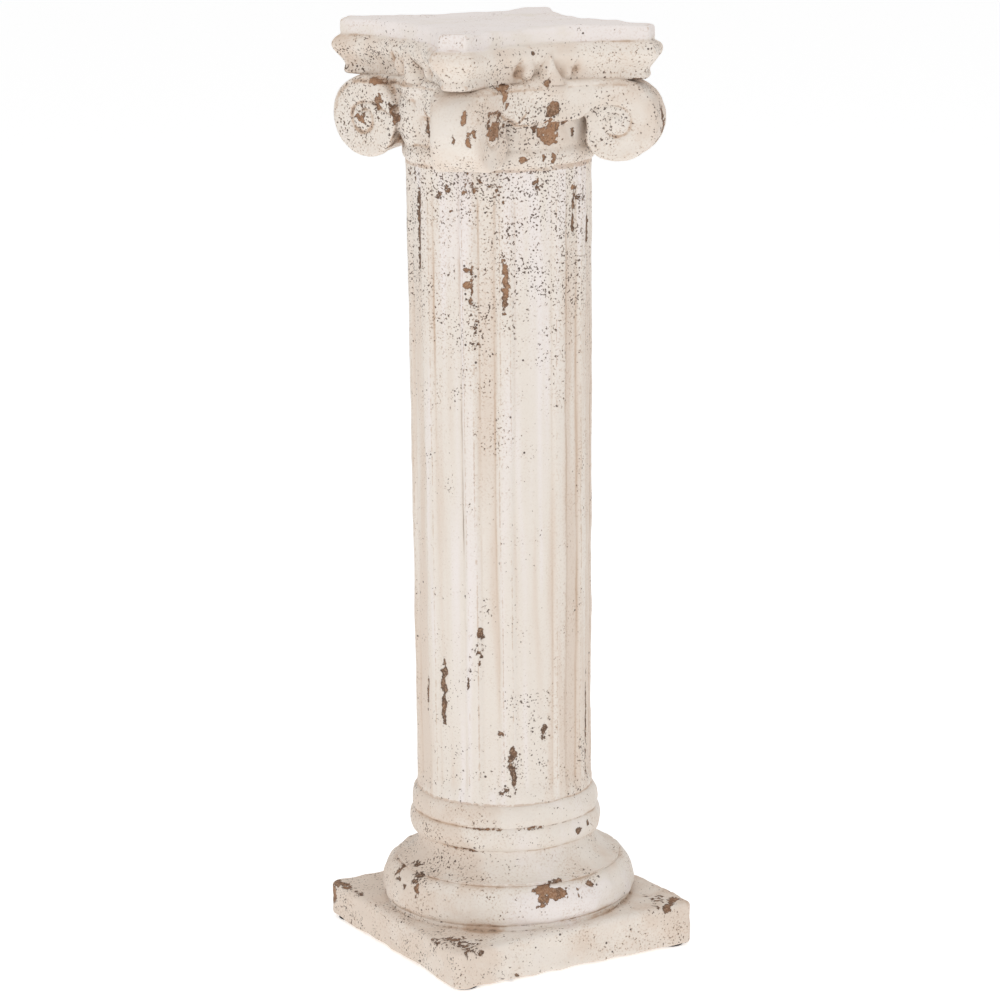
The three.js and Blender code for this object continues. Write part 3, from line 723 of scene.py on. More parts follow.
def tongue(across, height):
    """How far out the flower's tongue lies: a wedge that widens and leans from its apex to its foot,
    rounded over."""
    drop = np.clip((TONGUE_TOP - height) / (TONGUE_TOP - TONGUE_FOOT), 0, 1)
    wide = (across - TONGUE_LEAN * drop) / (1 + (TONGUE_HALF_WIDTH - 1) * drop)
    inside = np.maximum(1 - wide**2, 0) ** LOBE_FLATNESS * smooth_step(0, 0.14, drop)
    return TONGUE_ROOT + (TONGUE_REACH - TONGUE_ROOT) * inside


def flowered(out, across, height):
    """How far out an abacus side lies once the flower swells it: the larger of the side, each lobe's
    ellipsoid and the tongue, softly joined, with a notch on either hand."""
    out = out - NOTCH_DEPTH * notches(across, height)
    forms = [tongue(across, height)]
    for middle, centre, start, half_width, depth, half_height in FLOWER_LOBES:
        rise = (height - centre) / half_height
        wide = (across - middle) / half_width
        inside = np.maximum(1 - rise**2 - wide**2, 0) ** LOBE_FLATNESS
        forms.append(start - LOBE_EDGE + (depth + LOBE_EDGE) * inside)
    for form in forms:
        out = out + FLOWER_SOFTNESS * np.logaddexp(0, (form - out) / FLOWER_SOFTNESS)
    return out


def abacus_skin():
    """Abacus: the concave plan set out and in along the mouldings' rounded profile, each side swollen by its
    flower and the whole a little askew, closed by rows that run in over the underside and the top."""
    profile = even(ABACUS_MOULDINGS, ABACUS_SPACING)
    for _ in range(2):
        profile[1:-1] = (profile[:-2] + 2 * profile[1:-1] + profile[2:]) / 4
    angles, reach, height = stacked_rings([
        (ABACUS_MIDDLE + out, ABACUS_REACH + out, ABACUS_ARC_CENTRE, ABACUS_BOTTOM + rise)
        for out, rise in profile
    ])
    fold = folded(angles)
    reach = flowered(reach * np.cos(fold), reach * np.sin(fold), height) / np.cos(fold)
    slope = ABACUS_TILT / ABACUS_REACH * np.cos(angles - math.radians(ABACUS_TILT_AZIMUTH))
    share = (height - ABACUS_BOTTOM) / ABACUS_MOULDINGS[-1][1]
    front = smooth_step(0.78, 1.0, np.cos(angles + 0.75 * np.pi))
    height = height + (ABACUS_LIFT + slope * reach) * share + ABACUS_FRONT_LIFT * front * (1 - 0.7 * share)
    inwards = ABACUS_FACE_ROWS[:, None]
    reach = np.concatenate([reach[:1] * inwards, reach, reach[-1:] * inwards[::-1]])
    rows = len(inwards)
    top = height[-1].mean() + (height[-1] - height[-1].mean()) * inwards[::-1]
    height = np.concatenate([np.repeat(height[:1], rows, axis=0), height, top])
    return closed_skin(placed_rings(angles, reach, height) + ABACUS_SHIFT)


def spiral(radius, turn):
    """Where points of a volute's face lie on its spiral: for each of two whorls, how far outside the groove
    in half widths, how deep the groove still is, and the step up outside it, read from control points."""
    degrees = (np.degrees(turn) - SPIRAL_FIRST_TURN) % 360 + SPIRAL_FIRST_TURN - 360
    for whorl in (0, 360):
        at = degrees - whorl
        away = (radius - np.interp(at, SPIRAL_TURNS, SPIRAL_RADII)) / SPIRAL_HALF_WIDTH
        fade = smooth_step(SPIRAL_TURNS[0] - 10, SPIRAL_TURNS[0] + 70, at)
        yield away, fade, np.interp(at, SPIRAL_TURNS, SPIRAL_STEPS)


def rim_line(radius, turn):
    """Share of the line inside a volute's rim: level with the band's line towards the band, then concentric
    with the rim, and fading out down the front."""
    degrees = np.degrees(turn) % 360
    line = np.where(degrees < 90, VOLUTE_RIM_LINE, (FILLET_LINE - VOLUTE_CENTRE_Z) / np.sin(turn).clip(0.3))
    fade = smooth_step(-50, 40, 90 - np.abs(degrees - 90))
    return fade * hump((radius - line) / FILLET_LINE_HALF_WIDTH)


def scroll_relief(radius, turn):
    """Height of a volute's face: a low dome with a raised eye, less a soft groove along the spiral, stepped
    up outside it, and less the line inside the rim."""
    relief = SCROLL_DOME * hump(radius / SCROLL_DOME_RADIUS)
    relief = relief + EYE_HEIGHT * smooth_step(EYE_RADIUS, EYE_RADIUS - 2.4, radius)
    for away, fade, step in spiral(radius, turn):
        relief = relief - SPIRAL_DEPTH * fade * hump(away) + step * smooth_step(-0.6, 1.4, away)
    return relief - FILLET_LINE_DEPTH * rim_line(radius, turn)


def volute_reach(turn, share):
    """Radius of a volute's outline at each turn round its eye: even over the top and the outside, and drawn
    in beside the drum by a share of the insets."""
    return VOLUTE_RADIUS - share * np.interp(np.degrees(turn) % 360, OUTLINE_TURNS, OUTLINE_INSETS)


def volute_skin(angle, faces):
    """Volute: rows run from the eye of one face out to its rim, over the rim and in to the other eye; each
    row goes round the eye, and each face leans away from the diagonal by its splay and has its own inset."""
    turn = np.linspace(0, 2 * np.pi, VOLUTE_COUNT, endpoint=False)
    rim = np.linspace(0, np.pi / 2, 6)[1:, None]
    share = np.linspace(0.02, 1, VOLUTE_ROWS)[:, None]
    rows = []
    for sign, (splay, inset) in zip((1, -1), faces):
        edge = volute_reach(turn, inset)
        radius = np.concatenate([share * (edge - VOLUTE_EDGE), edge - VOLUTE_EDGE * (1 - np.sin(rim))])
        sink = np.concatenate([np.zeros_like(share), VOLUTE_EDGE * (1 - np.cos(rim))])
        along = VOLUTE_CENTRE + radius * np.cos(turn)
        relief = scroll_relief(radius, turn) * smooth_step(edge - 1, edge - 4, radius) - sink
        across = sign * (VOLUTE_RIM_HALF + (VOLUTE_REACH - along) * math.tan(math.radians(splay)) + relief)
        rows.append(np.stack([along, across, VOLUTE_CENTRE_Z + radius * np.sin(turn)], axis=-1))
    rows = np.concatenate([rows[0], rows[1][::-1]])
    outward, sideways = compass(angle)
    rings = rows[..., :1] * outward + rows[..., 1:2] * sideways + rows[..., 2:] * UP
    return closed_skin(rings + SHAFT_AXIS)


def lobe_skin(side, across, height, out, half_width, depth, half_height):
    """Lobe on a side of the capital: an ellipsoid."""
    rise = np.linspace(-np.pi / 2, np.pi / 2, 26)[1:-1, None]
    turn = np.linspace(0, 2 * np.pi, 48, endpoint=False)
    wide = half_width * np.cos(rise) * np.sin(turn)
    deep = depth * np.cos(rise) * np.cos(turn)
    tall = np.broadcast_to(half_height * np.sin(rise), wide.shape)
    outward, sideways = compass(side)
    flat = (out + deep)[..., None] * outward + (across + wide)[..., None] * sideways
    return closed_skin(flat + (height + tall)[..., None] * UP + SHAFT_AXIS)


def capital_skins():
    """All closed skins of the capital under the abacus, before they are fused."""
    skins = [neck_skin(), band_skin(), lobe_skin(np.pi, *LEFT_SWELLING)]
    for turn in range(4):
        first = (WIDE_VOLUTE_SPLAY, WIDE_VOLUTE_INSET) if turn == WIDE_VOLUTE else (VOLUTE_SPLAY, 1.0)
        skins.append(volute_skin((turn + 0.5) * np.pi / 2, (first, (VOLUTE_SPLAY, 1.0))))
        skins.append(lobe_skin(turn * np.pi / 2, *FLOWER_STEM))
    return skins


def pad_skin(x, y):
    """Foot pad: a turned disc with rounded edges."""
    low = [(PAD_RADIUS - inset, rise) for inset, rise in rounded_edge(PAD_EDGE, 5)]
    high = [(radius, PAD_THICKNESS - height) for radius, height in reversed(low)]
    profile = np.array([(PAD_CORE_RADIUS, 0.0)] + low + high + [(PAD_CORE_RADIUS, PAD_THICKNESS)])
    return closed_skin(turned_rings(profile, PAD_COUNT, np.array([x, y, 0.0])))


def vertices_of(mesh):
    """Points and normals of a mesh, points in millimetres."""
    points = np.empty(len(mesh.vertices) * 3, np.float32)
    mesh.vertices.foreach_get("co", points)
    normals = np.empty(len(mesh.vertices) * 3, np.float32)
    mesh.vertex_normals.foreach_get("vector", normals)
    return points.reshape(-1, 3).astype(float) / MM, normals.reshape(-1, 3).astype(float)


def links_of(mesh):
    """Pairs of neighbouring points, from the edges of a mesh."""
    links = np.empty(len(mesh.edges) * 2, np.int32)
    mesh.edges.foreach_get("vertices", links)
    return links.reshape(-1, 2)


def eased(values, links, rounds):
    """Values smoothed over a mesh: each round brings every point half way to the mean of its neighbours."""
    first, second = links.T
    size = len(values)
    count = np.bincount(links.ravel(), minlength=size)
    for _ in range(rounds):
        columns = [
            np.bincount(first, values[second, k], size) + np.bincount(second, values[first, k], size)
            for k in range(values.shape[1])
        ]
        values = values / 2 + np.stack(columns, axis=1) / (2 * count[:, None])
    return values


def move_to(mesh, points):
    """Puts points in millimetres back into a mesh."""
    mesh.vertices.foreach_set("co", (points * MM).astype(np.float32).ravel())
    mesh.update()


def fused(mesh, voxel):
    """One closed skin round all the overlapping skins of a mesh, by voxel remesh, eased to take off the
    steps."""
    holder = bpy.data.objects.new("capital_skins", mesh)
    bpy.context.scene.collection.objects.link(holder)
    change = holder.modifiers.new("fuse", "REMESH")
    change.mode = "VOXEL"
    change.voxel_size = voxel
    change.adaptivity = 0.0
    made = bpy.data.meshes.new_from_object(holder.evaluated_get(bpy.context.evaluated_depsgraph_get()))
    bpy.data.objects.remove(holder)
    points, _ = vertices_of(made)
    move_to(made, eased(points, links_of(made), 2))
    return made


def patch_size(points, axis, azimuth, reach, height, breadth, depth, rise):
    """How far out each point lies in an ellipsoid that faces away from the axis: 0 at its middle, 1 at its
    edge."""
    out, across = compass(math.radians(azimuth))
    offset = points - (axis * (1, 1, 0) + out * reach + UP * height)
    parts = (offset @ across / breadth, offset @ out / depth, offset[:, 2] / rise)
    return np.sqrt(sum(part**2 for part in parts))


def crumbs(patches, seed):
    """Small bare marks strewn at random through larger patches, each sunk through the face it lies on."""
    random = np.random.default_rng(seed)
    marks = []
    for azimuth, reach, height, breadth, depth, rise, darkness, count in patches:
        spread = random.normal(0, 0.5, (count, 3)) * (breadth, depth, rise)
        sizes = random.uniform(0.3, 1.0, (count, 2)) * min(breadth / 2, CRUMB_LARGEST)
        for (across, out, up), (wide, tall) in zip(spread, sizes):
            half = (wide, tall, CRUMB_DEPTH) if rise < depth else (wide, CRUMB_DEPTH, tall)
            place = (azimuth + math.degrees(across / reach), reach + out, height + up)
            marks.append((*place, *half, darkness))
    return marks


def bare_patches(points, marks, axis, raggedness):
    """Signed distance in millimetres to the nearest bare patch, negative inside it, and how dark that patch
    is: patches are ellipsoids whose edge is pushed in and out by a ragged field."""
    nearest = np.full(len(points), FAR_FROM_BARE)
    dark = np.zeros(len(points))
    for *place, darkness in marks:
        distance = (patch_size(points, axis, *place) - 1 + RAGGED_EDGE * raggedness) * min(place[3:])
        closer = distance < nearest
        nearest = np.where(closer, distance, nearest)
        dark = np.where(closer, darkness, dark)
    return nearest, dark


def thicker(points, patches, axis):
    """How much thicker the pits lie: each patch adds its share and fades out to its edge."""
    total = np.zeros(len(points))
    for *place, share in patches:
        total += share * smooth_step(1.2, 0.3, patch_size(points, axis, *place))
    return total


def put_field(mesh, name, values):
    """Stores one number for each point of a mesh under a name that a material can read."""
    field = mesh.attributes.new(name, "FLOAT", "POINT")
    field.data.foreach_set("value", values.astype(np.float32))


def weather(mesh, sizes, wear, axis, seed):
    """Wear of a casting: the faces swell and sink by smooth random fields, bare patches lie deeper, and
    fields are kept for the paint: distance to a bare patch and its darkness, hollows (wash in narrow ones,
    painted shade in wide ones), edges, pits, tone and flow."""
    marks, worn, pitted, lumps, flow, looks = wear
    points, normals = vertices_of(mesh)
    links = links_of(mesh)
    density, wash, tone = looks(points)
    close = np.einsum("ij,ij->i", eased(points, links, CLOSE_ROUNDS) - points, normals)
    wide = np.einsum("ij,ij->i", eased(points, links, SHADE_ROUNDS) - points, normals)
    # Hollow field: wash in the narrow hollows, painted shade that darkens the paint in the wide ones
    hollow = wash + 0.7 * smooth_step(0.08, 0.6, close) + 0.7 * smooth_step(0.2, 1.8, wide)
    ragged = 0.7 * ripple(points, 13, seed) + 0.5 * ripple(points, 5, seed + 1)
    bare, dark = bare_patches(points, marks + crumbs(worn, seed), axis, ragged)
    grain = ripple(points, 75, seed + 2) + 0.5 * ripple(points, 24, seed + 3)
    grain += 0.2 * ripple(points, 9, seed + 4)
    dent = sizes.chip_depth / MM * smooth_step(0.7, -0.9, bare)
    clusters = 0.5 * ripple(points, 48, seed + 5) + 0.5 * ripple(points, 19, seed + 6)
    move_to(mesh, points + normals * (lumps * sizes.swell / MM * grain - dent)[:, None])
    put_field(mesh, "bare", bare)
    put_field(mesh, "dark", dark)
    put_field(mesh, "hollow", np.clip(hollow, 0, 1.5))
    put_field(mesh, "edge", smooth_step(0.12, 0.7, -close))
    put_field(mesh, "speck", np.clip(density + thicker(points, pitted, axis) + 0.24 * clusters, 0, 1))
    put_field(mesh, "tone", np.clip(tone, 0, 1))
    put_field(mesh, "flow", np.full(len(points), flow))


def seam(points, height, width=2.2):
    """Wash along a level seam, fading out above and below it."""
    return 0.5 * hump((points[:, 2] - height) / width)


def facing(points, azimuth):
    """How squarely each point lies towards an azimuth from the axis: 1 straight towards it, -1 away."""
    turn = np.arctan2(points[:, 1], points[:, 0])
    return np.cos(turn - math.radians(azimuth))


def foot_looks(points):
    """Pits, wash and tone of the foot: pits on the slope and the plinth's top, wash on that top and under
    the torus, the paint warmer to the left, the torus paler as painted light, and the right side darker as
    painted shade."""
    height = points[:, 2]
    radius = np.hypot(points[:, 0], points[:, 1])
    top = smooth_step(1.4, 0.4, np.abs(height - PLINTH_TOP))
    top = top * smooth_step(FILLET_RADIUS - 1, FILLET_RADIUS, radius)
    left = smooth_step(0.2, 0.9, facing(points, FOOT_LEFT_AZIMUTH))
    torus = smooth_step(FILLET_TOP - 1, FILLET_TOP + 3, height) * smooth_step(*TORUS_FADE, height)
    plinth = smooth_step(PLINTH_TOP + 1, PLINTH_TOP - 3, height)
    middle, half = SLOPE_PITS
    density = 0.26 + 0.14 * hump((height - middle) / half) - 0.1 * torus + 0.1 * top
    density += 0.24 * left + 0.08 * plinth
    wash = 0.05 + 0.18 * np.exp(-(radius - FILLET_RADIUS) / 9) + thicker(points, FOOT_STAINS, MIDDLE)
    wash = top * wash
    wash += 0.15 * left
    wash += 1.5 * seam(points, FILLET_TOP, 1.4)
    wash += 1.1 * seam(points, RING_GROOVE[1], 1.7) + 1.0 * seam(points, TORUS_GROOVE[1], 1.7)
    # Torus made paler, except on the left: painted light
    tone = 0.45 + 0.05 * top - 0.42 * torus * (1 - left) + 0.5 * left + 0.25 * plinth
    # Right side turned from the light made darker: painted shade
    tone += 0.2 * smooth_step(0.7, 0.95, facing(points, SHADED_SIDE_AZIMUTH))
    return density, wash, tone


def shaft_looks(points):
    """Pits, wash and tone of the shaft: pits dense under the astragal and thinning to mid height, wash along
    the feet of the ribs, heavier at one foot of each rib as painted shade, and at both ends, warmer paint in
    the flutes, and darker paint on the left and right sides as painted shade."""
    height = points[:, 2]
    offset = points - SHAFT_AXIS
    turn = np.degrees(np.arctan2(offset[:, 1], offset[:, 0])) + flute_wander(offset)
    nearest, share = rib_place(turn)
    fluted = smooth_step(FLUTE_START, FLUTE_FULL, height)
    density = 0.16 + 0.4 * smooth_step(*SHAFT_UPPER_PITS, height)
    density += 0.2 * smooth_step(*SHAFT_LOWER_PITS, height)
    # Rib-foot line: wash, heavier at one foot of each rib as painted shade
    line = hump((nearest - RIB_FOOT_HALF_ANGLE) / RIB_LINE_HALF_ANGLE) * np.where(share > 0.5, 1.3, 0.6)
    strong = sum(np.exp(400 * (np.cos(np.radians(turn - azimuth)) - 1)) for azimuth in DARK_LINES)
    wash = (0.18 + 0.5 * strong) * fluted * line
    wash += seam(points, UPPER_RING_TOP) + seam(points, ASTRAGAL_BOTTOM)
    streaks = 0.12 * ripple(offset * (1, 1, 0.07), 16, 31) + 0.08 * ripple(offset * (1, 1, 0.05), 7, 32)
    tone = 0.42 + 0.2 * fluted * smooth_step(RIB_CROWN_HALF_ANGLE, RIB_FOOT_HALF_ANGLE, nearest) + streaks
    side = facing(offset, SHADED_SIDE_AZIMUTH)
    # Sides where the shaft turns away made darker: painted shade
    tone += 0.34 * smooth_step(0.6, 0.92, -side) + 0.18 * smooth_step(0.6, 0.92, side)
    tone += 0.08 * smooth_step(*SHAFT_WARM_FOOT, height) - 0.36 * smooth_step(*SHAFT_PALE_HEAD, height)
    return density, wash, tone


def scroll_wash(points):
    """Wash in the spirals of the four volutes, and wash with painted shadow in the creases beside the drum,
    found from each point's place round the nearest volute's eye."""
    offset = points - SHAFT_AXIS
    quarter = np.floor(np.arctan2(offset[:, 1], offset[:, 0]) / (np.pi / 2))
    corner = (quarter + 0.5) * (np.pi / 2)
    along = offset[:, 0] * np.cos(corner) + offset[:, 1] * np.sin(corner) - VOLUTE_CENTRE
    across = offset[:, 1] * np.cos(corner) - offset[:, 0] * np.sin(corner)
    rise = offset[:, 2] - VOLUTE_CENTRE_Z
    radius = np.hypot(along, rise)
    turn = np.arctan2(rise, along)
    lines = [fade * hump(away + 0.2) for away, fade, _ in spiral(radius, turn)]
    wide = (quarter % 4 == WIDE_VOLUTE) & (across > 0)
    edge = volute_reach(turn, np.where(wide, WIDE_VOLUTE_INSET, 1.0))
    beside = smooth_step(18, 8, np.abs(np.degrees(turn) % 360 - 192) - 18)
    # Dark line in the crease between drum and volute: painted shadow with wash
    shaded_crease = hump((radius - edge) / 1.3) * beside
    inside = smooth_step(edge - 1, edge - 5, radius)
    return inside * np.maximum(lines[0], lines[1]) + 0.6 * rim_line(radius, turn) + 3.0 * shaded_crease


def capital_looks(points):
    """Pits, wash and tone under the abacus: many pits, most on the left, wash along the spirals, the
    astragal and the abacus, painted shadow in the creases beside the drum, the drum warmer than the volutes
    and the front corner paler."""
    height = points[:, 2]
    left = smooth_step(0.3, 0.9, facing(points, CAPITAL_LEFT_AZIMUTH))
    radius = np.hypot(*(points - SHAFT_AXIS).T[:2])
    drum = smooth_step(*DRUM_FADE, height) * smooth_step(*DRUM_EDGE, radius)
    wash = seam(points, ASTRAGAL_BOTTOM) + seam(points, ABACUS_BOTTOM, 1.6)
    # Scroll wash brings painted shadow into the creases beside the drum
    wash += (0.6 + 0.5 * left) * scroll_wash(points)
    wash += 1.1 * seam(points, FILLET_LINE, 1.2) + 0.5 * seam(points, BAND_BOTTOM, 1.8) * drum + 0.15 * left
    tone = 0.66 + 0.05 * drum - 0.1 * left - 0.3 * thicker(points, PALE_CORNER, SHAFT_AXIS)
    return 0.5 + 0.18 * left, wash, tone


def abacus_looks(points):
    """Pits, wash and tone of the abacus: many pits below the slab, most on the left, painted shadow with
    wash in the flowers' notches, wash under the slab, a chalky top face and slab, and a paler front corner."""
    height = points[:, 2]
    offset = points - SHAFT_AXIS
    turn = np.arctan2(offset[:, 1], offset[:, 0])
    across = np.hypot(offset[:, 0], offset[:, 1]) * np.sin(folded(turn))
    slab = smooth_step(*SLAB_RISE, height)
    top = smooth_step(*TOP_RISE, height)
    left = smooth_step(0.3, 0.9, facing(points, CAPITAL_LEFT_AZIMUTH)) * (1 - slab)
    wash = seam(points, ABACUS_BOTTOM, 1.4) + 0.9 * seam(points, SLAB_GROOVE, 1.8) + 0.4 * left
    # Notches beside the flowers darkened: painted shadow with wash
    wash += 1.4 * notches(across, height) * (1 - slab)
    tone = 0.72 - 0.58 * slab - 0.1 * top - 0.05 * left - 0.3 * thicker(points, PALE_CORNER, SHAFT_AXIS)
    return 0.54 - 0.27 * slab - 0.13 * top + 0.2 * left, wash, tone


def node(tree, kind, sockets=None, **settings):
    """New shader node with its settings; each socket is given a value or another node's output."""
    made = tree.nodes.new("ShaderNode" + kind)
    for name, value in settings.items():
        setattr(made, name, value)
    for name, value in (sockets or {}).items():
        if isinstance(value, bpy.types.NodeSocket):
            tree.links.new(value, made.inputs[name])
        else:
            made.inputs[name].default_value = value
    return made


def grain(tree, place, scale, detail=3.0, roughness=0.55):
    """Noise at a scale in features per metre."""
    sockets = {"Vector": place, "Scale": scale, "Detail": detail, "Roughness": roughness}
    return node(tree, "TexNoise", sockets).outputs["Fac"]


def between(tree, value, low, high, first=0.0, last=1.0):
    """Soft ramp of a value from one number to another, held at both ends."""
    sockets = {"Value": value, "From Min": low, "From Max": high, "To Min": first, "To Max": last}
    return node(tree, "MapRange", sockets, interpolation_type="SMOOTHSTEP", clamp=True).outputs["Result"]


def maths(tree, first, second, operation="ADD"):
    """Arithmetic on two values, their sum if nothing else is said."""
    return node(tree, "Math", {0: first, 1: second}, operation=operation).outputs[0]


def product(tree, first, second):
    """One value times another."""
    return maths(tree, first, second, "MULTIPLY")


def blend(tree, share, first, second):
    """Mixes two colours by a share."""
    return node(tree, "Mix", {0: share, 6: first, 7: second}, data_type="RGBA").outputs[2]


def dots(tree, place, scale, thick, smallest, largest):
    """Round pits: one in a share of the cells of a random net, each of its own size."""
    cells = node(tree, "TexVoronoi", {"Vector": place, "Scale": scale})
    lot = node(tree, "SeparateColor", {"Color": cells.outputs["Color"]}).outputs
    size = between(tree, lot["Green"], 0.0, 1.0, smallest, largest)
    pit = between(tree, maths(tree, size, cells.outputs["Distance"], "SUBTRACT"), 0.0, 0.03)
    share = between(tree, thick, 0.1, 1.0, 0.0, 0.75)
    chosen = between(tree, maths(tree, share, lot["Red"], "SUBTRACT"), 0.0, 0.05)
    return product(tree, pit, chosen)


def field(tree, name):
    """Number kept on the mesh under a name."""
    return node(tree, "Attribute", attribute_name=name).outputs["Fac"]


def opaque(colour):
    """Colour with full alpha."""
    return (*colour, 1.0)


def new_material(name):
    """Empty node material with its main shader."""
    material = bpy.data.materials.new(name)
    material.use_nodes = True
    tree = material.node_tree
    return material, tree, tree.nodes["Principled BSDF"]


def drawn_out(tree, place):
    """Place with its height shortened by the mesh's flow, so that drifts run along the shaft."""
    parts = node(tree, "SeparateXYZ", {"Vector": place}).outputs
    along = product(tree, parts["Z"], field(tree, "flow"))
    return node(tree, "CombineXYZ", {"X": parts["X"], "Y": parts["Y"], "Z": along}).outputs["Vector"]


def washed_paint(tree, colours, place, drawn, patchy):
    """Cream paint with warm and chalky drifts, a tan wash in hollows and on rubbed edges, painted shade in
    wide hollows, and dark clay in the deepest creases as wash with painted shade.
    """
    drift = between(tree, grain(tree, drawn, 14.0, 4.0), 0.3, 0.7, -0.2, 0.2)
    mottle = between(tree, grain(tree, drawn, 42.0, 3.0), 0.32, 0.68, -0.16, 0.16)
    tone = maths(tree, field(tree, "tone"), maths(tree, drift, mottle))
    paint = blend(tree, between(tree, tone, 0.0, 0.5), opaque(colours.pale), opaque(colours.cream))
    paint = blend(tree, between(tree, tone, 0.5, 1.0), paint, opaque(colours.warm))
    brushed = between(tree, grain(tree, drawn, 120.0, 5.0, 0.65), 0.3, 0.75, 0.35, 1.15)
    # Tan in the hollows: wash in the narrow ones, painted shade in the wide ones
    hollow = product(tree, field(tree, "hollow"), product(tree, brushed, patchy))
    paint = blend(tree, between(tree, hollow, 0.08, 1.0, 0.0, 0.8), paint, opaque(colours.wash))
    # Deepest creases turn dark clay: wash with painted shade
    shaded_crease = product(tree, field(tree, "hollow"), brushed)
    paint = blend(tree, between(tree, shaded_crease, 0.9, 1.5, 0.0, 0.7), paint, opaque(colours.dark_clay))
    rubbed = product(tree, field(tree, "edge"), grain(tree, place, 210.0, 4.0, 0.7))
    return blend(tree, between(tree, rubbed, 0.34, 0.5, 0.0, 0.5), paint, opaque(colours.wash))


def paint_sand(tree, place, thick, patchy):
    """Share of tan sand in the paint: more where the pits lie thick, and in patches."""
    sand = between(tree, grain(tree, place, 560.0, 2.0), 0.48, 0.72)
    sand = product(tree, sand, between(tree, thick, 0.0, 0.8, 0.2, 0.85))
    return product(tree, sand, patchy)


def ragged_pits(tree, noise, thick, highest, lowest):
    """Pits at the peaks of a noise, above a level that sinks from highest to lowest as they lie thicker."""
    level = between(tree, thick, 0.0, 1.0, highest, lowest)
    return between(tree, maths(tree, noise, level, "SUBTRACT"), 0.0, 0.025)


def paint_pits(tree, place, thick):
    """All pits in the paint: fine, coarse and round ones."""
    fine = ragged_pits(tree, grain(tree, place, 560.0, 2.0, 0.5), thick, 0.735, 0.585)
    coarse = ragged_pits(tree, grain(tree, place, 280.0, 3.0, 0.6), thick, 0.79, 0.65)
    pits = maths(tree, fine, coarse, "MAXIMUM")
    return maths(tree, pits, dots(tree, place, 180.0, thick, 0.05, 0.2), "MAXIMUM")


def bare_clay(tree, colours, place, torn):
    """Clay where the paint is gone: stained as the mesh says, flecked with light and dark, and darkest
    along the torn edge as painted shadow of the paint's edge."""
    stain = between(tree, grain(tree, place, 130.0, 5.0, 0.7), 0.34, 0.68, -0.3, 0.3)
    stained = between(tree, maths(tree, field(tree, "dark"), stain), 0.0, 1.0)
    clay = blend(tree, stained, opaque(colours.clay), opaque(colours.dark_clay))
    light = between(tree, grain(tree, place, 620.0, 3.0, 0.65), 0.48, 0.62, 0.0, 0.6)
    clay = blend(tree, light, clay, opaque(colours.wash))
    dark = between(tree, grain(tree, place, 380.0, 3.0, 0.65), 0.56, 0.66, 0.0, 0.7)
    clay = blend(tree, dark, clay, opaque(colours.dark_clay))
    # Darker along the torn edge: painted shadow
    return blend(tree, between(tree, torn, -1.0, -0.1, 0.0, 0.55), clay, opaque(colours.speck))


def worn_paint(colours):
    """Distressed paint: washed paint with sand and pits, torn away from bare clay."""
    material, tree, shader = new_material("worn_paint")
    place = node(tree, "TexCoord").outputs["Object"]
    drawn = drawn_out(tree, place)
    patchy = between(tree, grain(tree, drawn, 22.0, 3.0), 0.36, 0.64, 0.3, 1.2)
    thick = field(tree, "speck")
    paint = washed_paint(tree, colours, place, drawn, patchy)
    paint = blend(tree, paint_sand(tree, place, thick, patchy), paint, opaque(colours.wash))
    pits = paint_pits(tree, place, thick)
    paint = blend(tree, product(tree, pits, 0.92), paint, opaque(colours.speck))
    jag = between(tree, grain(tree, place, 300.0, 4.0, 0.65), 0.25, 0.75, -1.1, 1.1)
    torn = maths(tree, field(tree, "bare"), jag)
    gone = between(tree, torn, 0.25, -0.25)
    colour = blend(tree, gone, paint, bare_clay(tree, colours, place, torn))
    tree.links.new(colour, shader.inputs["Base Color"])
    tree.links.new(between(tree, gone, 0.0, 1.0, 0.68, 0.9), shader.inputs["Roughness"])
    height = maths(tree, grain(tree, place, 420.0, 5.0, 0.6), product(tree, pits, -0.8))
    height = maths(tree, height, product(tree, gone, -1.2))
    bump = node(tree, "Bump", {"Height": height, "Strength": 0.5, "Distance": 0.0005})
    tree.links.new(bump.outputs["Normal"], shader.inputs["Normal"])
    return material


def pad_rubber(colours):
    """Dark foot pads with a dusty grain."""
    material, tree, shader = new_material("pad_rubber")
    place = node(tree, "TexCoord").outputs["Object"]
    dust = between(tree, grain(tree, place, 600.0, 4.0, 0.7), 0.45, 0.75, 0.0, 0.35)
    colour = blend(tree, dust, opaque(colours.rubber), opaque(colours.speck))
    tree.links.new(colour, shader.inputs["Base Color"])
    tree.links.new(between(tree, dust, 0.0, 0.35, 0.8, 0.95), shader.inputs["Roughness"])
    return material


def floor_paper(colour, glow):
    """Plain matt studio floor, lit through from below."""
    material, _, shader = new_material("studio_floor")
    shader.inputs["Base Color"].default_value = opaque(colour)
    shader.inputs["Roughness"].default_value = 0.95
    shader.inputs["Specular IOR Level"].default_value = 0.1
    shader.inputs["Emission Color"].default_value = opaque(colour)
    shader.inputs["Emission Strength"].default_value = glow
    return material


def piece_from(mesh, name, material, nodes):
    """Object at the origin that stands for CAD nodes and rides on the fixed body."""
    mesh.materials.append(material)
    mesh.polygons.foreach_set("use_smooth", np.ones(len(mesh.polygons), bool))
    mesh.update()
    piece = bpy.data.objects.new(name, mesh)
    bpy.context.scene.collection.objects.link(piece)
    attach(piece, "root")
    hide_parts(*nodes)
    return piece


def paint_of(scene):
    """The one painted clay material, made the first time it is asked for."""
    return bpy.data.materials.get("worn_paint") or worn_paint(scene.column_colours)


def painted_piece(scene, mesh, name, wear, axis, seed):
    """Weathers and paints a mesh of the casting, and sets it in place of the column's solid."""
    weather(mesh, scene.column_sizes, wear, axis, seed)
    piece_from(mesh, name, paint_of(scene), ["column"])


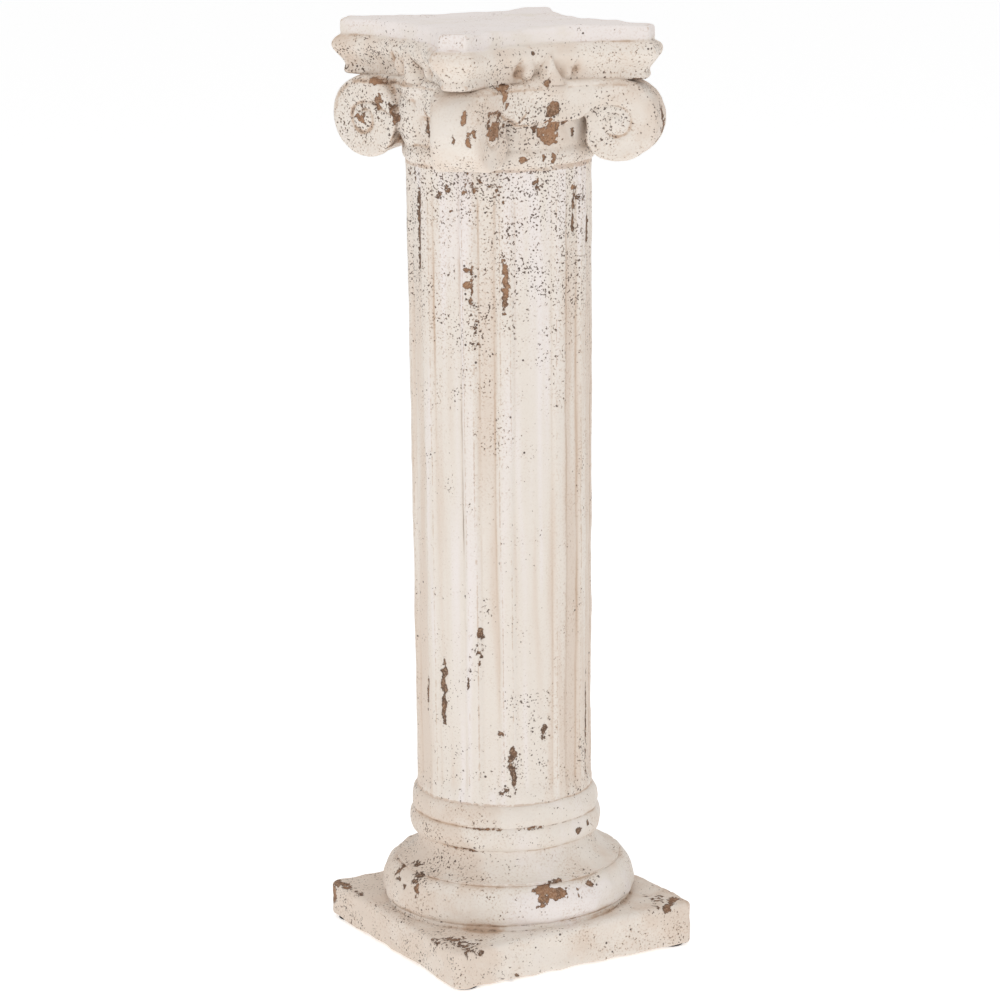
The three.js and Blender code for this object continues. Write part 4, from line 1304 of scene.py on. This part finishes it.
class COLUMN_OT_foot(bpy.types.Operator):
    """Builds the square plinth and the turned base"""

    bl_idname = "column.foot"
    bl_label = "Plinth and base"

    def execute(self, context):
        mesh = mesh_of("column_foot", [foot_skin()])
        points, _ = vertices_of(mesh)
        move_to(mesh, eased(points, links_of(mesh), 1))
        wear = (FOOT_MARKS, FOOT_CRUMBS, FOOT_PITS, FOOT_LUMPS, PLAIN_FLOW, foot_looks)
        painted_piece(context.scene, mesh, "column_foot", wear, MIDDLE, FOOT_SEED)
        return {"FINISHED"}


class COLUMN_OT_shaft(bpy.types.Operator):
    """Builds the fluted shaft"""

    bl_idname = "column.shaft"
    bl_label = "Shaft"

    def execute(self, context):
        mesh = mesh_of("column_shaft", [shaft_skin(context.scene.column_sizes.flute_depth / MM)])
        wear = (SHAFT_MARKS, SHAFT_CRUMBS, SHAFT_PITS, SHAFT_LUMPS, SHAFT_FLOW, shaft_looks)
        painted_piece(context.scene, mesh, "column_shaft", wear, SHAFT_AXIS, SHAFT_SEED)
        return {"FINISHED"}


class COLUMN_OT_capital(bpy.types.Operator):
    """Builds the capital under the abacus: neck, channel band and volutes fused into one skin"""

    bl_idname = "column.capital"
    bl_label = "Capital"

    def execute(self, context):
        mesh = fused(mesh_of("capital_skins", capital_skins()), context.scene.column_sizes.voxel)
        mesh.name = "column_capital"
        wear = (CAPITAL_MARKS, CAPITAL_CRUMBS, CAPITAL_PITS, CAPITAL_LUMPS, PLAIN_FLOW, capital_looks)
        painted_piece(context.scene, mesh, "column_capital", wear, SHAFT_AXIS, CAPITAL_SEED)
        return {"FINISHED"}


class COLUMN_OT_abacus(bpy.types.Operator):
    """Builds the moulded abacus with its four flowers"""

    bl_idname = "column.abacus"
    bl_label = "Abacus"

    def execute(self, context):
        mesh = mesh_of("column_abacus", [abacus_skin()])
        wear = (CAPITAL_MARKS, CAPITAL_CRUMBS, CAPITAL_PITS, CAPITAL_LUMPS, PLAIN_FLOW, abacus_looks)
        painted_piece(context.scene, mesh, "column_abacus", wear, SHAFT_AXIS, CAPITAL_SEED)
        return {"FINISHED"}


class COLUMN_OT_pads(bpy.types.Operator):
    """Builds the four foot pads"""

    bl_idname = "column.pads"
    bl_label = "Foot pads"

    def execute(self, context):
        material = pad_rubber(context.scene.column_colours)
        for name, (x, y) in PAD_PLACES.items():
            mesh = mesh_of("soft_" + name, [pad_skin(x * PAD_CENTRE, y * PAD_CENTRE)])
            piece_from(mesh, "soft_" + name, material, [name])
        return {"FINISHED"}


def area_light(name, place, size, power):
    """Square soft light aimed at the middle of the column."""
    light = bpy.data.lights.new(name, "AREA")
    light.energy = power
    light.size = size
    lamp = bpy.data.objects.new(name, light)
    aim = Vector(LIGHT_AIM) - Vector(place)
    lamp.matrix_world = Matrix.Translation(place) @ aim.to_track_quat("-Z", "Y").to_matrix().to_4x4()
    bpy.context.scene.collection.objects.link(lamp)


def lay_floor(scene, stage):
    """Pale floor that reaches past the picture."""
    mesh = bpy.data.meshes.new("studio_floor")
    corners = [(x * FLOOR_HALF, y * FLOOR_HALF, 0) for x, y in ((-1, -1), (1, -1), (1, 1), (-1, 1))]
    mesh.from_pydata(corners, [], [(0, 1, 2, 3)])
    mesh.materials.append(floor_paper(stage.floor, stage.glow))
    floor = bpy.data.objects.new("studio_floor", mesh)
    scene.collection.objects.link(floor)


def light_stage(scene, stage):
    """Three soft lights and an even white sky."""
    area_light("key_light", *KEY_LIGHT, stage.key_power)
    area_light("side_light", *SIDE_LIGHT, stage.side_power)
    area_light("top_light", *TOP_LIGHT, stage.top_power)
    world = bpy.data.worlds.new("studio")
    world.use_nodes = True
    sky = world.node_tree.nodes["Background"]
    sky.inputs["Color"].default_value = (1.0, 1.0, 1.0, 1.0)
    sky.inputs["Strength"].default_value = stage.sky
    scene.world = world
    scene.view_settings.view_transform = "Standard"


def set_camera(scene, lens):
    """Camera where the photograph was taken from."""
    camera = bpy.data.objects.new("photo_camera", bpy.data.cameras.new("photo_camera"))
    camera.data.sensor_fit = "HORIZONTAL"
    camera.data.sensor_width = SENSOR_WIDTH
    camera.data.lens = lens
    camera.matrix_world = (
        Matrix.Translation(CAMERA_PLACE)
        @ Matrix.Rotation(math.radians(CAMERA_AZIMUTH), 4, "Z")
        @ Matrix.Rotation(math.radians(90 - CAMERA_PITCH), 4, "X")
        @ Matrix.Rotation(math.radians(CAMERA_ROLL), 4, "Z")
    )
    scene.collection.objects.link(camera)
    scene.camera = camera


class COLUMN_OT_stage(bpy.types.Operator):
    """Builds the pale floor, the soft lights and the photograph's camera"""

    bl_idname = "column.stage"
    bl_label = "Stage"

    def execute(self, context):
        stage = context.scene.column_stage
        lay_floor(context.scene, stage)
        light_stage(context.scene, stage)
        set_camera(context.scene, stage.lens)
        return {"FINISHED"}


class VIEW3D_PT_column(bpy.types.Panel):
    """Lists the column's settings and builders"""

    bl_label = "Column"
    bl_idname = "VIEW3D_PT_column"
    bl_space_type = "VIEW_3D"
    bl_region_type = "UI"
    bl_category = "Column"

    def draw(self, context):
        for group in (context.scene.column_sizes, context.scene.column_colours, context.scene.column_stage):
            box = self.layout.box()
            for name in group.__annotations__:
                box.prop(group, name)
        for operator in OPERATORS:
            self.layout.operator(operator.bl_idname)


OPERATORS = (
    COLUMN_OT_foot, COLUMN_OT_shaft, COLUMN_OT_capital, COLUMN_OT_abacus, COLUMN_OT_pads, COLUMN_OT_stage
)
CLASSES = (ColumnSizes, ColumnColours, StageSettings, *OPERATORS, VIEW3D_PT_column)


def register():
    """Adds the settings, builders and panel to Blender."""
    for kind in CLASSES:
        bpy.utils.register_class(kind)
    bpy.types.Scene.column_sizes = PointerProperty(type=ColumnSizes)
    bpy.types.Scene.column_colours = PointerProperty(type=ColumnColours)
    bpy.types.Scene.column_stage = PointerProperty(type=StageSettings)


def unregister():
    """Takes them out again."""
    del bpy.types.Scene.column_stage
    del bpy.types.Scene.column_colours
    del bpy.types.Scene.column_sizes
    for kind in reversed(CLASSES):
        bpy.utils.unregister_class(kind)


def main():
    """Builds every piece in order."""
    register()
    bpy.ops.column.foot()
    bpy.ops.column.shaft()
    bpy.ops.column.capital()
    bpy.ops.column.abacus()
    bpy.ops.column.pads()
    bpy.ops.column.stage()


if __name__ == "__main__":
    main()
